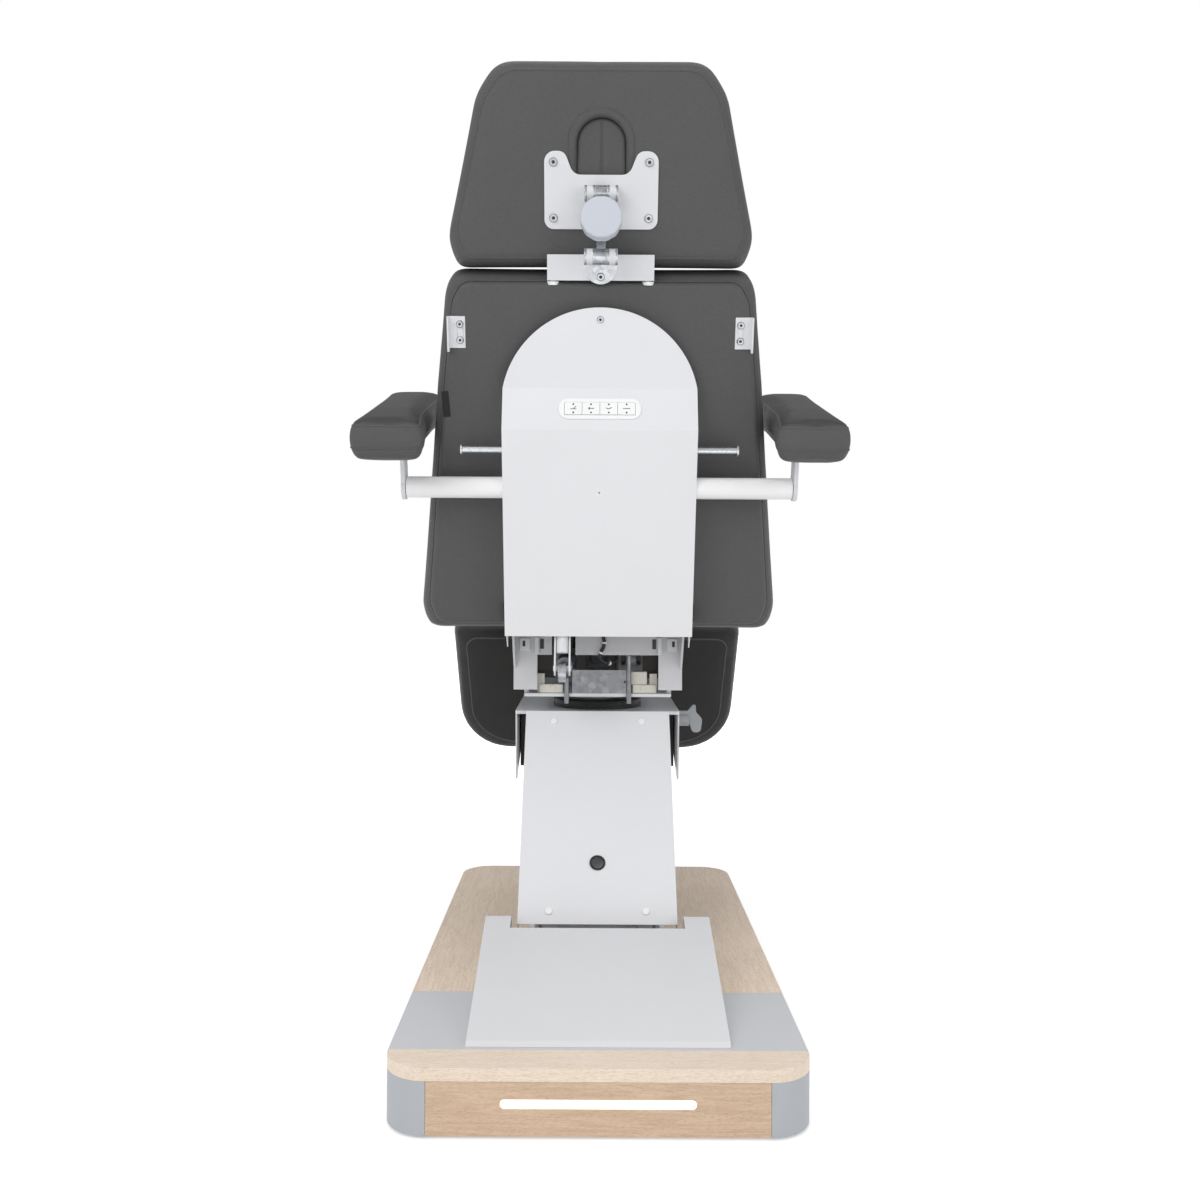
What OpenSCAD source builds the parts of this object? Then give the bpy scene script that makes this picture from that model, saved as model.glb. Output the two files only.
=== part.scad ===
// Electric pedicure chair: a platform, a parallel lifting arm, a swivelling and tilting seat,
// a reclining back with headrest and armrests, and a leg rest. Millimetres, +Z up, and the sitter faces +Y.
// The origin lies on the floor under the middle of the chair's overall box.

/* [Platform] */
// Width of the platform
deck_w = 580; // [500:10:700]
// Length of the platform
deck_l = 1070; // [1000:10:1200]
// Height of the platform's top above the floor
deck_h = 95; // [90:1:110]
// Corner radius of the platform in plan
deck_r = 60; // [40:1:80]
// Distance of the platform's middle behind the origin
deck_back = 132; // [100:1:160]
// Width of the cover over the lower pivots
cover_w = 368; // [350:1:400]

/* [Lift] */
// Length of the lifting arm between its pivots
arm_l = 369; // [360:1:380]
// Angle of the lifting arm above the floor as shown
arm_rise = 53.6; // [50:0.1:56]
// Width of the arm's cover sheet
sheet_w = 266; // [250:1:280]

/* [Seat] */
// Width of the seat frame
frame_w = 314; // [306:1:320]
// Length of the seat frame
frame_l = 455; // [440:1:470]
// Width of the seat cushion
seat_w = 640; // [560:5:700]
// Length of the seat cushion
seat_l = 398; // [380:1:400]
// Thickness of the seat cushion
seat_t = 108; // [90:1:110]

/* [Back] */
// Lean of the back behind the vertical
back_lean = 16; // [12:1:18]
// Width of the back cushion at its widest
back_w = 650; // [600:5:700]
// Height of the back cushion
back_l = 643; // [630:1:650]
// Thickness of the back cushion
back_t = 90; // [80:1:100]
// Width of the rear cover
shell_w = 332; // [324:1:340]
// Diameter of the armrest tube
bar_d = 37; // [32:1:40]

/* [Headrest] */
// Width of the headrest at its widest
head_w = 518; // [460:2:560]
// Height of the headrest
head_l = 325; // [310:1:335]
// Thickness of the headrest
head_t = 80; // [60:1:84]

/* [Armrests] */
// Width of an armrest pad
pad_w = 119; // [100:1:130]
// Length of an armrest pad
pad_l = 370; // [320:1:400]
// Thickness of an armrest pad
pad_t = 78; // [60:1:84]

/* [Leg rest] */
// Lean of the hanging leg rest in front of the vertical
leg_lean = 24; // [20:1:28]
// Width of the leg rest
leg_w = 664; // [600:2:680]
// Length of the leg rest
leg_l = 338; // [310:1:345]
// Thickness of the leg rest
leg_t = 88; // [70:1:95]

/* [Hidden] */
$fn = 48;

// Clearance between curved faces of different bodies
gap = 0.3;
// Radial play of a pin or a sliding rod in its bore
play = 0.05;
// Length by which a cut runs past the face that it opens
over = 1;

white = [0.90, 0.90, 0.91];
grey = [0.70, 0.73, 0.76];
oak = [0.85, 0.74, 0.58];
black = [0.08, 0.08, 0.08];
zinc = [0.72, 0.73, 0.74];
skai = [0.27, 0.27, 0.27];

// Places of the pivots, each as [y, z], and their distances from one another
foot_set = [-100, 147];
link_set = [75, -15];
bracket_rise = 45;
swivel_set = 130;
tilt_set = [5, 59];
back_set = [-90, 191];
frame_set = [-24, 163];
leg_set = [19, 131];
arm_foot = [foot_set.x - deck_back, foot_set.y];
arm_head = arm_foot + arm_l * [cos(arm_rise), sin(arm_rise)];
bracket_top = arm_head.y + bracket_rise;
swivel_y = arm_head.x + swivel_set;
tilt_axis = [arm_head.x + tilt_set.x, bracket_top + tilt_set.y];
back_axis = [arm_head.x + back_set.x, bracket_top + back_set.y];
frame_back = arm_head.x + frame_set.x;
frame_top = bracket_top + frame_set.y;
leg_axis = [frame_back + frame_l + leg_set.x, bracket_top + leg_set.y];
// The same places for pieces that stand on the platform
deck_rear = -deck_back - deck_l / 2;
deck_front = -deck_back + deck_l / 2;

// Joins a profile drawn in the y-z plane into a solid of the given width, centred on x
module across(w, x = 0) {
    translate([x - w / 2, 0, 0])
        rotate([90, 0, 90])
            linear_extrude(w) children();
}

// Round bar along x between two places
module bar_x(d, w, x = 0, y = 0, z = 0) {
    translate([x - w / 2, y, z])
        rotate([0, 90, 0]) cylinder(d = d, h = w);
}

// Same copy on the left and on the right
module both_sides() {
    children();
    mirror([1, 0, 0]) children();
}

// Plate lying in x-y with round corners
module round_plate(w, l, t, r) {
    linear_extrude(t) round_rect(w, l, r);
}

module round_rect(w, l, r) {
    union() {
        square([w - 2 * r, l], center = true);
        square([w, l - 2 * r], center = true);
        for (x = [-1, 1], y = [-1, 1])
            translate([x * (w / 2 - r), y * (l / 2 - r)]) circle(r);
    }
}

// Points of a polygon whose corners [x, y, radius] are rounded by arcs of n steps
function unit(v) = v / norm(v);
function corner(a, b, c, r, n) =
    let (u = unit(a - b), w = unit(c - b), half = acos(u * w) / 2,
         centre = b + unit(u + w) * r / sin(half),
         from = b + u * r / tan(half) - centre, to = b + w * r / tan(half) - centre,
         start = atan2(from.y, from.x), raw = atan2(to.y, to.x) - start,
         sweep = raw > 180 ? raw - 360 : raw < -180 ? raw + 360 : raw)
    [for (i = [0:n]) centre + r * [cos(start + sweep * i / n), sin(start + sweep * i / n)]];
function rounded(p, n) =
    [for (i = [0:len(p) - 1])
        let (a = p[(i + len(p) - 1) % len(p)], b = p[i], c = p[(i + 1) % len(p)])
        each corner([a.x, a.y], [b.x, b.y], [c.x, c.y], b.z, n)];

// Closed cushion over an outline: round edges, and a crown that falls away to the edges
module cushion(outline, half, t, edge, crown, base_crown, steps = 6) {
    n = len(outline);
    edge_rings = [for (k = [0:steps])
        let (a = -90 + 180 * k / steps, inset = edge * (1 - cos(a)))
        [[inset, inset], (t / 2 - (a > 0 ? crown : base_crown)) * sin(a)]];
    function crowned(share, c) =
        [[for (h = half) edge + share * (h - edge)], t / 2 - c + c * share * (2 - share)];
    rings = concat(
        [for (k = [len(cushion_shares) - 1:-1:0])
            let (ring = crowned(cushion_shares[k], base_crown)) [ring.x, -ring.y]],
        edge_rings,
        [for (share = cushion_shares) crowned(share, crown)]);
    m = len(rings);
    points = concat(
        [for (ring = rings, p = outline)
            [p.x * (1 - ring.x.x / half.x), p.y * (1 - ring.x.y / half.y), ring.y]],
        [[0, 0, -t / 2], [0, 0, t / 2]]);
    walls = [for (j = [0:m - 2], i = [0:n - 1])
        let (a = j * n + i, b = j * n + (i + 1) % n)
        each [[a, b + n, b], [a, a + n, b + n]]];
    caps = [for (i = [0:n - 1])
        each [[m * n, i, (i + 1) % n], [m * n + 1, (m - 1) * n + (i + 1) % n, (m - 1) * n + i]]];
    polyhedron(points, concat(walls, caps));
}
cushion_shares = [0.25, 0.55];

// Platform
board_t = 18;
band_from = 61;
band_l = 223;
seam = 0.4;
skirt_gap = 4;
skirt_t = 12;
corner_l = 60;
corner_t = 3;
slot_w = 261;
slot_h = 12;
slot_z = 47;
board_z = deck_h - board_t;

module deck_slab(from, to) {
    intersection() {
        translate([0, -deck_back, board_z]) round_plate(deck_w, deck_l, board_t, deck_r);
        translate([-deck_w, deck_rear + from, 0]) cube([2 * deck_w, to - from, deck_h + over]);
    }
}

module deck_board() {
    color(oak) deck_slab(band_from + band_l, deck_l + over);
}

module deck_band() {
    color(grey) deck_slab(band_from, band_from + band_l - seam);
}

module deck_strip() {
    color(oak) deck_slab(-over, band_from - seam);
}

// Upright panel between two corner covers
panel_w = deck_w - 2 * (corner_l + seam);
panel_h = board_z - skirt_gap;

module end_panels() {
    color(oak) difference() {
        for (y = [deck_rear, deck_front - skirt_t])
            translate([-panel_w / 2, y, skirt_gap]) cube([panel_w, skirt_t, panel_h]);
        translate([0, deck_rear + skirt_t + over, slot_z])
            rotate([90, 0, 0]) round_plate(slot_w, slot_h, skirt_t + 2 * over, slot_h / 2 - gap);
    }
}

module side_panels() {
    side_l = deck_l - 2 * (corner_l + seam);
    color(grey) both_sides()
        translate([deck_w / 2 - skirt_t, deck_rear + corner_l + seam, skirt_gap])
            cube([skirt_t, side_l, panel_h]);
}

module corner_covers() {
    color(grey) intersection() {
        translate([0, -deck_back, skirt_gap]) linear_extrude(panel_h) difference() {
            round_rect(deck_w, deck_l, deck_r);
            round_rect(deck_w - 2 * corner_t, deck_l - 2 * corner_t, deck_r - corner_t);
        }
        for (x = [-1, 1], y = [-1, 1])
            translate([x * (deck_w / 2 - corner_l / 2), y * (deck_l / 2 - corner_l / 2) - deck_back, 0])
                translate([-corner_l / 2, -corner_l / 2, 0]) cube([corner_l, corner_l, deck_h]);
    }
}

// Welded frame of square tube under the boards
rail = 30;
rail_in = 60;
rail_z = board_z - rail;

module base_chassis() {
    rail_x = deck_w / 2 - rail_in;
    cross_l = 2 * rail_x + rail;
    color("dimgray") {
        both_sides()
            translate([rail_x - rail / 2, deck_rear + skirt_t + gap, rail_z])
                cube([rail, deck_l - 2 * (skirt_t + gap), rail]);
        for (y = cross_shares)
            translate([-cross_l / 2, deck_rear + skirt_t + gap + y * (deck_l - 2 * skirt_t - rail), rail_z])
                cube([cross_l, rail, rail]);
        translate([-cross_l / 2, -deck_back - plate_l / 2 + plate_y, board_z - plate_t])
            cube([cross_l, plate_l, plate_t]);
    }
}
cross_shares = [0.02, 0.5, 0.96];
plate_l = 240;
plate_t = 6;
plate_y = -70;

module led_diffuser() {
    color("white") translate([0, deck_rear + skirt_t, slot_z])
        rotate([90, 0, 0])
            round_plate(slot_w - 2 * gap, slot_h - 2 * gap, skirt_t - corner_t / 2, slot_h / 2 - 2 * gap);
}

// Levelling foot: rubber pad, stem into the rails
foot_d = 44;
foot_h = 12;
stem_d = 12;

module levelling_feet() {
    foot_x = deck_w / 2 - rail_in;
    color(black) for (x = [-1, 1], y = [-1, 0, 1])
        translate([x * foot_x, y * (deck_l / 2 - 2 * rail_in) - deck_back, 0]) {
            cylinder(d = foot_d, h = foot_h);
            cylinder(d = stem_d, h = rail_z);
        }
}

// Mains inlet in the front of the platform, with a plain socket and a switch beside it
inlet_w = 30;
inlet_h = 24;
inlet_t = 6;
inlet_x = 120;

module power_inlet() {
    color(black) difference() {
        translate([inlet_x - inlet_w / 2, deck_front, slot_z - inlet_h / 2])
            cube([inlet_w, inlet_t / 2, inlet_h]);
        translate([inlet_x, deck_front + inlet_t, slot_z])
            rotate([90, 0, 0]) round_plate(inlet_w - inlet_t, inlet_h - inlet_t, inlet_t, corner_t);
    }
}

// Folded cover over the arm's lower pivots, with an open notch for the arm
cover_from = 68;
cover_l = 321;
cover_rise = 95;
cover_t = 3;
cover_r = 12;
notch_w = 284;
notch_l = 46;
lip = 6;

module cover_shape(in) {
    translate([0, deck_rear + cover_from, deck_h]) rotate([90, 0, 90])
        translate([0, 0, -cover_w / 2 + in]) linear_extrude(cover_w - 2 * in)
            polygon(rounded([[in, -over * sign(in), 0.5], [cover_l - in, -over * sign(in), 0.5],
                [cover_l - in, cover_rise - in, cover_r], [in + lip, lip, cover_r]], 5));
}

module column_cover() {
    color(white) difference() {
        cover_shape(0);
        cover_shape(cover_t);
        translate([-notch_w / 2, deck_rear + cover_from + cover_l - notch_l, deck_h - over])
            cube([notch_w, notch_l + over, cover_rise + 2 * over]);
    }
}

// Lower pivots of the lift, welded on one foot plate
cheek_t = 8;
cheek_x = 101;
pivot_d = 20;
link_pin_d = 12;
link_pin_l = 22;
link_t = 8;
link_x = 110;
beam_t = 24;
beam_x = 81;
beam_h = 56;
foot_plate_t = 6;
lug_pin_d = 10;
eye_w = 20;
eye_d = 28;
lug_t = 6;
lug_x = eye_w / 2 + lug_t / 2 + 2;
motor_set = [140, -22];
motor_foot = arm_foot + motor_set;
motor_head = [20, 20];
foot_top = deck_h + foot_plate_t;

// Side cheek from a flat at one height to two pivots
module cheek(a, b, ra, rb, flat_z) {
    hull() {
        translate(a) circle(ra, $fn = 32);
        translate(b) circle(rb, $fn = 32);
        translate([a.x - ra, flat_z - over / 2]) square([b.x - a.x + ra + rb, over]);
    }
}

// Pair of lug plates with their pin at a pivot that a rod's eye sits on
module lug_pair(place, r, flat_z) {
    both_sides() across(lug_t, lug_x) hull() {
        translate(place) circle(r, $fn = 32);
        translate([place.x - r, flat_z - over / 2]) square([2 * r, over]);
    }
    bar_x(lug_pin_d, 2 * lug_x, 0, place.x, place.y);
}

module column_bracket() {
    a = arm_foot;
    b = arm_foot + link_set;
    color(white) {
        translate([0, a.x + (motor_foot.x - a.x) / 2, deck_h])
            round_plate(2 * link_x + beam_t, motor_foot.x - a.x + 4 * beam_t, foot_plate_t, beam_t);
        both_sides() across(cheek_t, cheek_x) cheek(a, b, beam_t, eye_d / 2, foot_top);
        bar_x(pivot_d, 2 * cheek_x, 0, a.x, a.y);
        both_sides() bar_x(link_pin_d, link_pin_l, cheek_x + (link_pin_l - cheek_t) / 2, b.x, b.y);
        lug_pair(motor_foot, eye_d / 2, foot_top);
    }
}

// Lifting arm, seen along its own length: y runs from the lower to the upper pivot
module in_arm() {
    translate([0, arm_foot.x, arm_foot.y]) rotate([arm_rise, 0, 0]) children();
}
web_from = 60;
web_to = 200;
web_t = 4;
sheet_z = 50;
sheet_t = 1.5;
sheet_from = -10;
sheet_to = 394;
flange_h = 25;
boss_d = 16;
screw_x = 81;
screw_in = 22;
screw_d = 10;
screw_h = 2.4;
grommet_y = 97;
grommet_d = 27;
grommet_bore = 20;
sheet_bore = 23;
screw_y = [sheet_from + screw_in, sheet_to - screw_in];

module lift_arm() {
    color(white) in_arm() difference() {
        union() {
            both_sides() across(beam_t, beam_x) {
                translate([0, -beam_h / 2]) square([arm_l, beam_h]);
                circle(d = beam_h);
                translate([arm_l, 0]) circle(d = beam_h);
            }
            translate([-beam_x, web_from, beam_h / 2 - 2 * web_t])
                cube([2 * beam_x, web_to - web_from, web_t]);
            bar_x(2 * pivot_d, 2 * beam_x);
            for (x = [-1, 1], y = screw_y)
                translate([x * screw_x, y, beam_h / 2 - over])
                    cylinder(d = boss_d, h = sheet_z - beam_h / 2 + over);
        }
        bar_x(pivot_d + 2 * play, 3 * beam_x);
        bar_x(pivot_d + 2 * play, 3 * beam_x, 0, arm_l);
    }
}

module arm_cover() {
    color(white) in_arm() difference() {
        union() {
            translate([-sheet_w / 2, sheet_from, sheet_z])
                cube([sheet_w, sheet_to - sheet_from, sheet_t]);
            both_sides()
                translate([sheet_w / 2 - sheet_t, sheet_from, sheet_z - flange_h])
                    cube([sheet_t, sheet_to - sheet_from, flange_h + sheet_t]);
        }
        translate([0, grommet_y, sheet_z - over]) cylinder(d = sheet_bore, h = flange_h);
    }
}

// Low domed screw head on a washer-like rim
module screw_head(d, h) {
    rotate_extrude() intersection() {
        translate([0, h - d]) circle(d);
        square([d / 2, h]);
    }
}

module arm_cover_screws() {
    color(zinc) in_arm() for (x = [-1, 1], y = screw_y)
        translate([x * screw_x, y, sheet_z + sheet_t]) screw_head(screw_d, screw_h);
}

module arm_grommet() {
    color(black) in_arm() translate([0, grommet_y, sheet_z + sheet_t])
        rotate_extrude() translate([grommet_bore / 2, 0])
            square([(grommet_d - grommet_bore) / 2, screw_h]);
}

module lift_link() {
    color(white) both_sides() difference() {
        translate([0, link_set.x, link_set.y]) in_arm() across(link_t, link_x) {
            translate([0, -link_pin_d]) square([arm_l, 2 * link_pin_d]);
            circle(link_pin_d);
            translate([arm_l, 0]) circle(link_pin_d);
        }
        for (p = [arm_foot + link_set, arm_head + link_set])
            bar_x(link_pin_d + 2 * play, 2 * beam_t, link_x, p.x, p.y);
    }
}

// Top bracket: the level plate that the seat swivels on
top_w = 313;
top_t = 6;
top_from = 22;
top_l = 300;
skirt_plate_t = 3;
skirt_tip = [42, -133];
skirt_end = 30;

module top_bracket() {
    a = arm_head;
    b = arm_head + link_set;
    plate_z = bracket_top - top_t;
    skirt_x = (top_w - skirt_plate_t) / 2;
    color(white) {
        translate([0, a.x + top_from + top_l / 2, plate_z]) round_plate(top_w, top_l, top_t, lip);
        both_sides() {
            across(skirt_plate_t, skirt_x)
                polygon([[a.x + top_from + lip, bracket_top - over],
                    [a.x + skirt_tip.x, bracket_top + skirt_tip.y],
                    [a.x + skirt_tip.x + lip, bracket_top + skirt_tip.y],
                    [a.x + top_from + top_l - lip, plate_z - skirt_end],
                    [a.x + top_from + top_l - lip, bracket_top - over]]);
            across(cheek_t, cheek_x) hull() {
                translate(a) circle(beam_t, $fn = 32);
                translate(b) circle(eye_d / 2, $fn = 32);
                translate([a.x + top_from, plate_z]) square([link_set.x, over]);
            }
            bar_x(pivot_d, cheek_x - beam_x + beam_t / 2, (cheek_x + beam_x - beam_t / 2) / 2, a.x, a.y);
            bar_x(link_pin_d, link_pin_l, cheek_x + (link_pin_l - cheek_t) / 2, b.x, b.y);
        }
        both_sides() across(lug_t, lug_x) hull() {
            translate(a + motor_head) circle(eye_d / 2, $fn = 32);
            translate([a.x + top_from, plate_z]) square([eye_d, over]);
        }
        bar_x(lug_pin_d, 2 * lug_x, 0, a.x + motor_head.x, a.y + motor_head.y);
        bar_x(lug_pin_d, lever_bore, skirt_x + lever_bore / 2, a.x + lever_y, bracket_top - lever_hub_l);
    }
}

// Control box under the plate, in front of the arm
box_w = 302;
box_l = 129;
box_h = 112;
box_from = 105;

module control_box() {
    color(black) translate([0, arm_head.x + box_from, bracket_top - top_t - box_h])
        translate([-box_w / 2, 0, 0]) cube([box_w, box_l, box_h]);
}

// Swivel bearing on the top plate: an outer ring, and the turntable's hub inside it
ring_d = 174;
ring_h = 19;
hub_d = 120;
hub_h = 31;
table_w = 276;
table_from = -12;
table_l = 330;
table_t = 6;
table_z = bracket_top + hub_h;

module swivel_ring() {
    color(black) translate([0, swivel_y, bracket_top]) rotate_extrude() difference() {
        translate([hub_d / 2 + play, 0]) square([(ring_d - hub_d) / 2 - play, ring_h]);
        translate([ring_d / 2, ring_h]) rotate(45) square(lip, center = true);
        translate([ring_d / 2, ring_h / 2]) square([lip / 2, lip], center = true);
    }
}

// Brake lever on the right side of the top plate
lever_y = 60;
lever_hub_d = 24;
lever_hub_l = 20;
lever_bore = 16;
lever_t = 9;

module brake_lever() {
    y = arm_head.x + lever_y;
    color(grey) translate([top_w / 2 + gap, y, bracket_top - lever_hub_l]) difference() {
        union() {
            bar_x(lever_hub_d, lever_hub_l, lever_hub_l / 2);
            translate([0, lever_t / 2, 0]) rotate([90, 0, 0])
                linear_extrude(lever_t) polygon(rounded(lever_hub_l * lever_shares, 5));
        }
        bar_x(lug_pin_d + 2 * play, 2 * lever_bore);
    }
}
lever_shares = [[0, -0.35, 0.1], [1.1, -0.35, 0.35], [1.35, -1.2, 0.35], [2.15, -1.2, 0.4],
    [2.3, 0.1, 0.5], [1.7, 0.75, 0.2], [1.65, 1.5, 0.12], [1.35, 1.4, 0.1], [0.9, 0.85, 0.3], [0, 0.85, 0.1]];

// Turntable: hub, level plate, and the ears that carry the tilting seat
ear_t = 8;
ear_x = 138;
tilt_pin_d = 16;
tilt_foot_set = [295, 7];
tilt_pin_set = [35, 80];
tilt_foot = tilt_axis + tilt_foot_set;
tilt_rod_pin = tilt_axis + tilt_pin_set;
side_t = 4;
side_x = frame_w / 2 - side_t / 2;

module turntable() {
    color(white) {
        difference() {
            translate([0, swivel_y, bracket_top + gap]) cylinder(d = hub_d, h = hub_h);
            translate([0, swivel_y, 0]) cylinder(d = hub_d / 2, h = 2 * bracket_top);
        }
        difference() {
            translate([0, arm_head.x + table_from + table_l / 2, table_z])
                round_plate(table_w, table_l, table_t, lip);
            translate([0, swivel_y, 0]) cylinder(d = hub_d / 2, h = 2 * bracket_top);
        }
        both_sides() {
            across(ear_t, ear_x - ear_t / 2) hull() {
                translate(tilt_axis) circle(tilt_pin_d, $fn = 32);
                translate([tilt_axis.x - tilt_pin_d / 2, table_z + table_t - over])
                    square([4 * tilt_pin_d, over]);
            }
            bar_x(tilt_pin_d, side_x + side_t / 2 - ear_x + ear_t, (side_x + side_t / 2 + ear_x - ear_t) / 2,
                tilt_axis.x, tilt_axis.y);
        }
        lug_pair(tilt_foot, eye_d / 2, table_z + table_t);
    }
}

// Zinc plate and its two studs behind the turntable's rear edge
zinc_w = 108;
zinc_x = 6;
zinc_h = 44;
zinc_t = 3;
stud_d = 9;
stud_x = 58;
stud_top = [66, 108];

module zinc_plate() {
    y = arm_head.x + table_from;
    color(zinc) {
        difference() {
            translate([zinc_x - zinc_w / 2, y, table_z + table_t]) cube([zinc_w, zinc_t, zinc_h]);
            translate([zinc_x + zinc_w / 2 - stud_d, y - over, table_z + table_t + zinc_h / 2])
                rotate([-90, 0, 0]) cylinder(d = stud_d / 2, h = zinc_t + 2 * over);
        }
        for (k = [0, 1])
            translate([(2 * k - 1) * stud_x, y - stud_d / 2, bracket_top + ring_h])
                cylinder(d = stud_d, h = stud_top[k] - ring_h);
    }
}

// Seat frame: two side plates that carry the tilt, back and leg pivots, and the cross members
hinge_d = 20;
hinge_pin = [130, 168];
hinge_neck = [[67, -34], [40, -40], [16, -12]];
leg_pin_d = 14;
cross_t = 4;
cross_low = 53;
cross_high = 12;
bar_h = 9;
bar_l = 40;
bar_from = [56, 305, 400];
crank_x = -64;
leg_motor_x = 64;
notch_half = 22;
gusset = [62, 118];
side_low = 90;
back_foot_drop = 77;
leg_foot_set = [75, -67];
back_foot = [tilt_foot.x, frame_top - back_foot_drop];
leg_foot = [frame_back, frame_top] + leg_foot_set;
window = [226, 52];

module side_plate() {
    y = frame_back;
    z = frame_top;
    across(side_t, side_x) difference() {
        union() {
            polygon([[y, z - gusset.y], [y + gusset.x, z - gusset.y], [y + 2 * gusset.x, z - side_low],
                [y + frame_l, z - side_low + bar_l], [y + frame_l, z], [y, z]]);
            translate(leg_axis) circle(d = hinge_d + leg_pin_d);
            translate([y + frame_l - over, leg_axis.y - leg_pin_d]) square([hinge_d, 2 * leg_pin_d]);
            translate(back_axis) circle(d = 2 * hinge_d);
            polygon(concat([back_axis - [hinge_d, 0], [y + over, z - 2 * bar_l]],
                [for (p = hinge_neck) back_axis + p]));
        }
        translate(tilt_axis) circle(d = tilt_pin_d + 2 * play);
    }
}

// Lug pair for an actuator, hanging from a cross member at any x
module hung_lugs(place, x) {
    translate([x, 0, 0]) {
        both_sides() across(lug_t, lug_x) hull() {
            translate(place) circle(lug_pin_d, $fn = 32);
            translate([place.x - lug_pin_d, frame_top - bar_h]) square([2 * lug_pin_d, over]);
        }
        bar_x(lug_pin_d, 2 * lug_x, 0, place.x, place.y);
    }
}

module seat_frame() {
    y = frame_back;
    z = frame_top;
    inner = frame_w - 2 * side_t + over;
    color(white) {
        both_sides() {
            side_plate();
            bar_x(hinge_d, hinge_pin[1] - hinge_pin[0], (hinge_pin[0] + hinge_pin[1]) / 2,
                back_axis.x, back_axis.y);
            bar_x(leg_pin_d, leg_pin_d + side_t, side_x - leg_pin_d / 2, leg_axis.x, leg_axis.y);
        }
        difference() {
            translate([-inner / 2, y, z - gusset.y]) cube([inner, cross_t, gusset.y - cross_high]);
            translate([-window.x / 2, y - over, z - cross_low - window.y - lip])
                cube([window.x, cross_t + 2 * over, window.y + lip]);
            translate([-window.x / 2, y - over, z - gusset.y - over])
                cube([window.x, cross_t + 2 * over, gusset.y - cross_low]);
            translate([crank_x - notch_half, y - over, z - gusset.y - over])
                cube([2 * notch_half, cross_t + 2 * over, gusset.y]);
        }
        for (from = bar_from)
            translate([-inner / 2, y + from, z - bar_h]) cube([inner, bar_l, bar_h]);
        translate([-inner / 2, y + frame_l - cross_t, z - bar_l]) cube([inner, cross_t, bar_l]);
        hung_lugs(tilt_rod_pin, 0);
        hung_lugs(leg_foot, leg_motor_x);
        hung_lugs(back_foot, crank_x);
    }
}

ply_t = 13;
seat_inset = 20;
board_l = seat_l - seat_inset;
seat_back_gap = 60;
seat_from = frame_back + seat_back_gap;
seat_side = 24;
seat_radius = [34, 34, 900, 40, 40, 900];
seat_edge = 26;
seat_crown = 10;

module seat_board() {
    color(black) translate([0, seat_from + seat_l / 2, frame_top])
        round_plate(seat_w - 2 * seat_side, board_l, ply_t, seat_side);
}

module seat_cushion() {
    w = seat_w / 2;
    l = seat_l / 2;
    corners = [[-w + lip, -l], [w - lip, -l], [w, 0], [w - lip, l], [-w + lip, l], [-w, 0]];
    outline = rounded([for (k = [0:len(corners) - 1]) [corners[k].x, corners[k].y, seat_radius[k]]], 6);
    color(skai) translate([0, seat_from + l, frame_top + ply_t + seat_t / 2])
        cushion(outline, [w, l], seat_t, seat_edge, seat_crown, 0);
}

// Cable clipped between the seat frame's window and the lugs, with its ties
cable_d = 7;
cable_route = [[6, -41, 646], [10, -41, 634], [12, -42, 622], [10, -42, 612], [5, -42, 604], [3, -40, 596],
    [6, -34, 589], [13, -28, 585], [22, -23, 583], [30, -17, 585], [36, -10, 591]];

// Rings of a round tube swept along a route
module swept(route, d, sides) {
    n = len(route);
    points = [for (i = [0:n - 1])
        let (along = unit(route[min(i + 1, n - 1)] - route[max(i - 1, 0)]),
             side = unit(cross(along, [0, 1, 0.01])), up = cross(side, along))
        each [for (k = [0:sides - 1])
            route[i] + d / 2 * (cos(360 * k / sides) * side + sin(360 * k / sides) * up)]];
    polyhedron(points, concat([[for (k = [0:sides - 1]) k]],
        [for (i = [0:n - 2], k = [0:sides - 1])
            let (a = i * sides + k, b = i * sides + (k + 1) % sides)
            each [[a, a + sides, b], [b, a + sides, b + sides]]],
        [[for (k = [sides - 1:-1:0]) (n - 1) * sides + k]]));
}

module harness_cable() {
    color(black) swept(cable_route, cable_d, 10);
}

// Back, drawn upright about its hinge and then leaned: y runs forward and z up the back
module in_back() {
    translate([0, back_axis.x, back_axis.y]) rotate([back_lean, 0, 0]) children();
}
cushion_y = 22;
cushion_drop = 44;
back_top = back_l - cushion_drop;
post_w = 28;
post_t = 18;
post_x = 134;
post_drop = 159;
post_top = back_top - post_drop;
crank_pin = [-60, -85];
crank_w = 3;
crank_eye_r = 13;
crank_tube_d = 22;
crank_tube_l = 88;
crank_tube_lean = -27;
crank_tube_from = [11, 25];
bar_drop = 169;
cross_bars = [12, 222, back_top - bar_drop];
tube_y = -28;
tube_z = 236;
guide_x = 80;
guide_y = cushion_y - ply_t / 2;
guide_d = 12.4;
guide_bore = 9;
guide_lug_h = 20;
guide_rise = 26;
guide_floor = cross_bars[2] + guide_rise;
guide_drop = 18;
guide_to = back_top - guide_drop;
post_y = cushion_y - ply_t - post_t;

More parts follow.
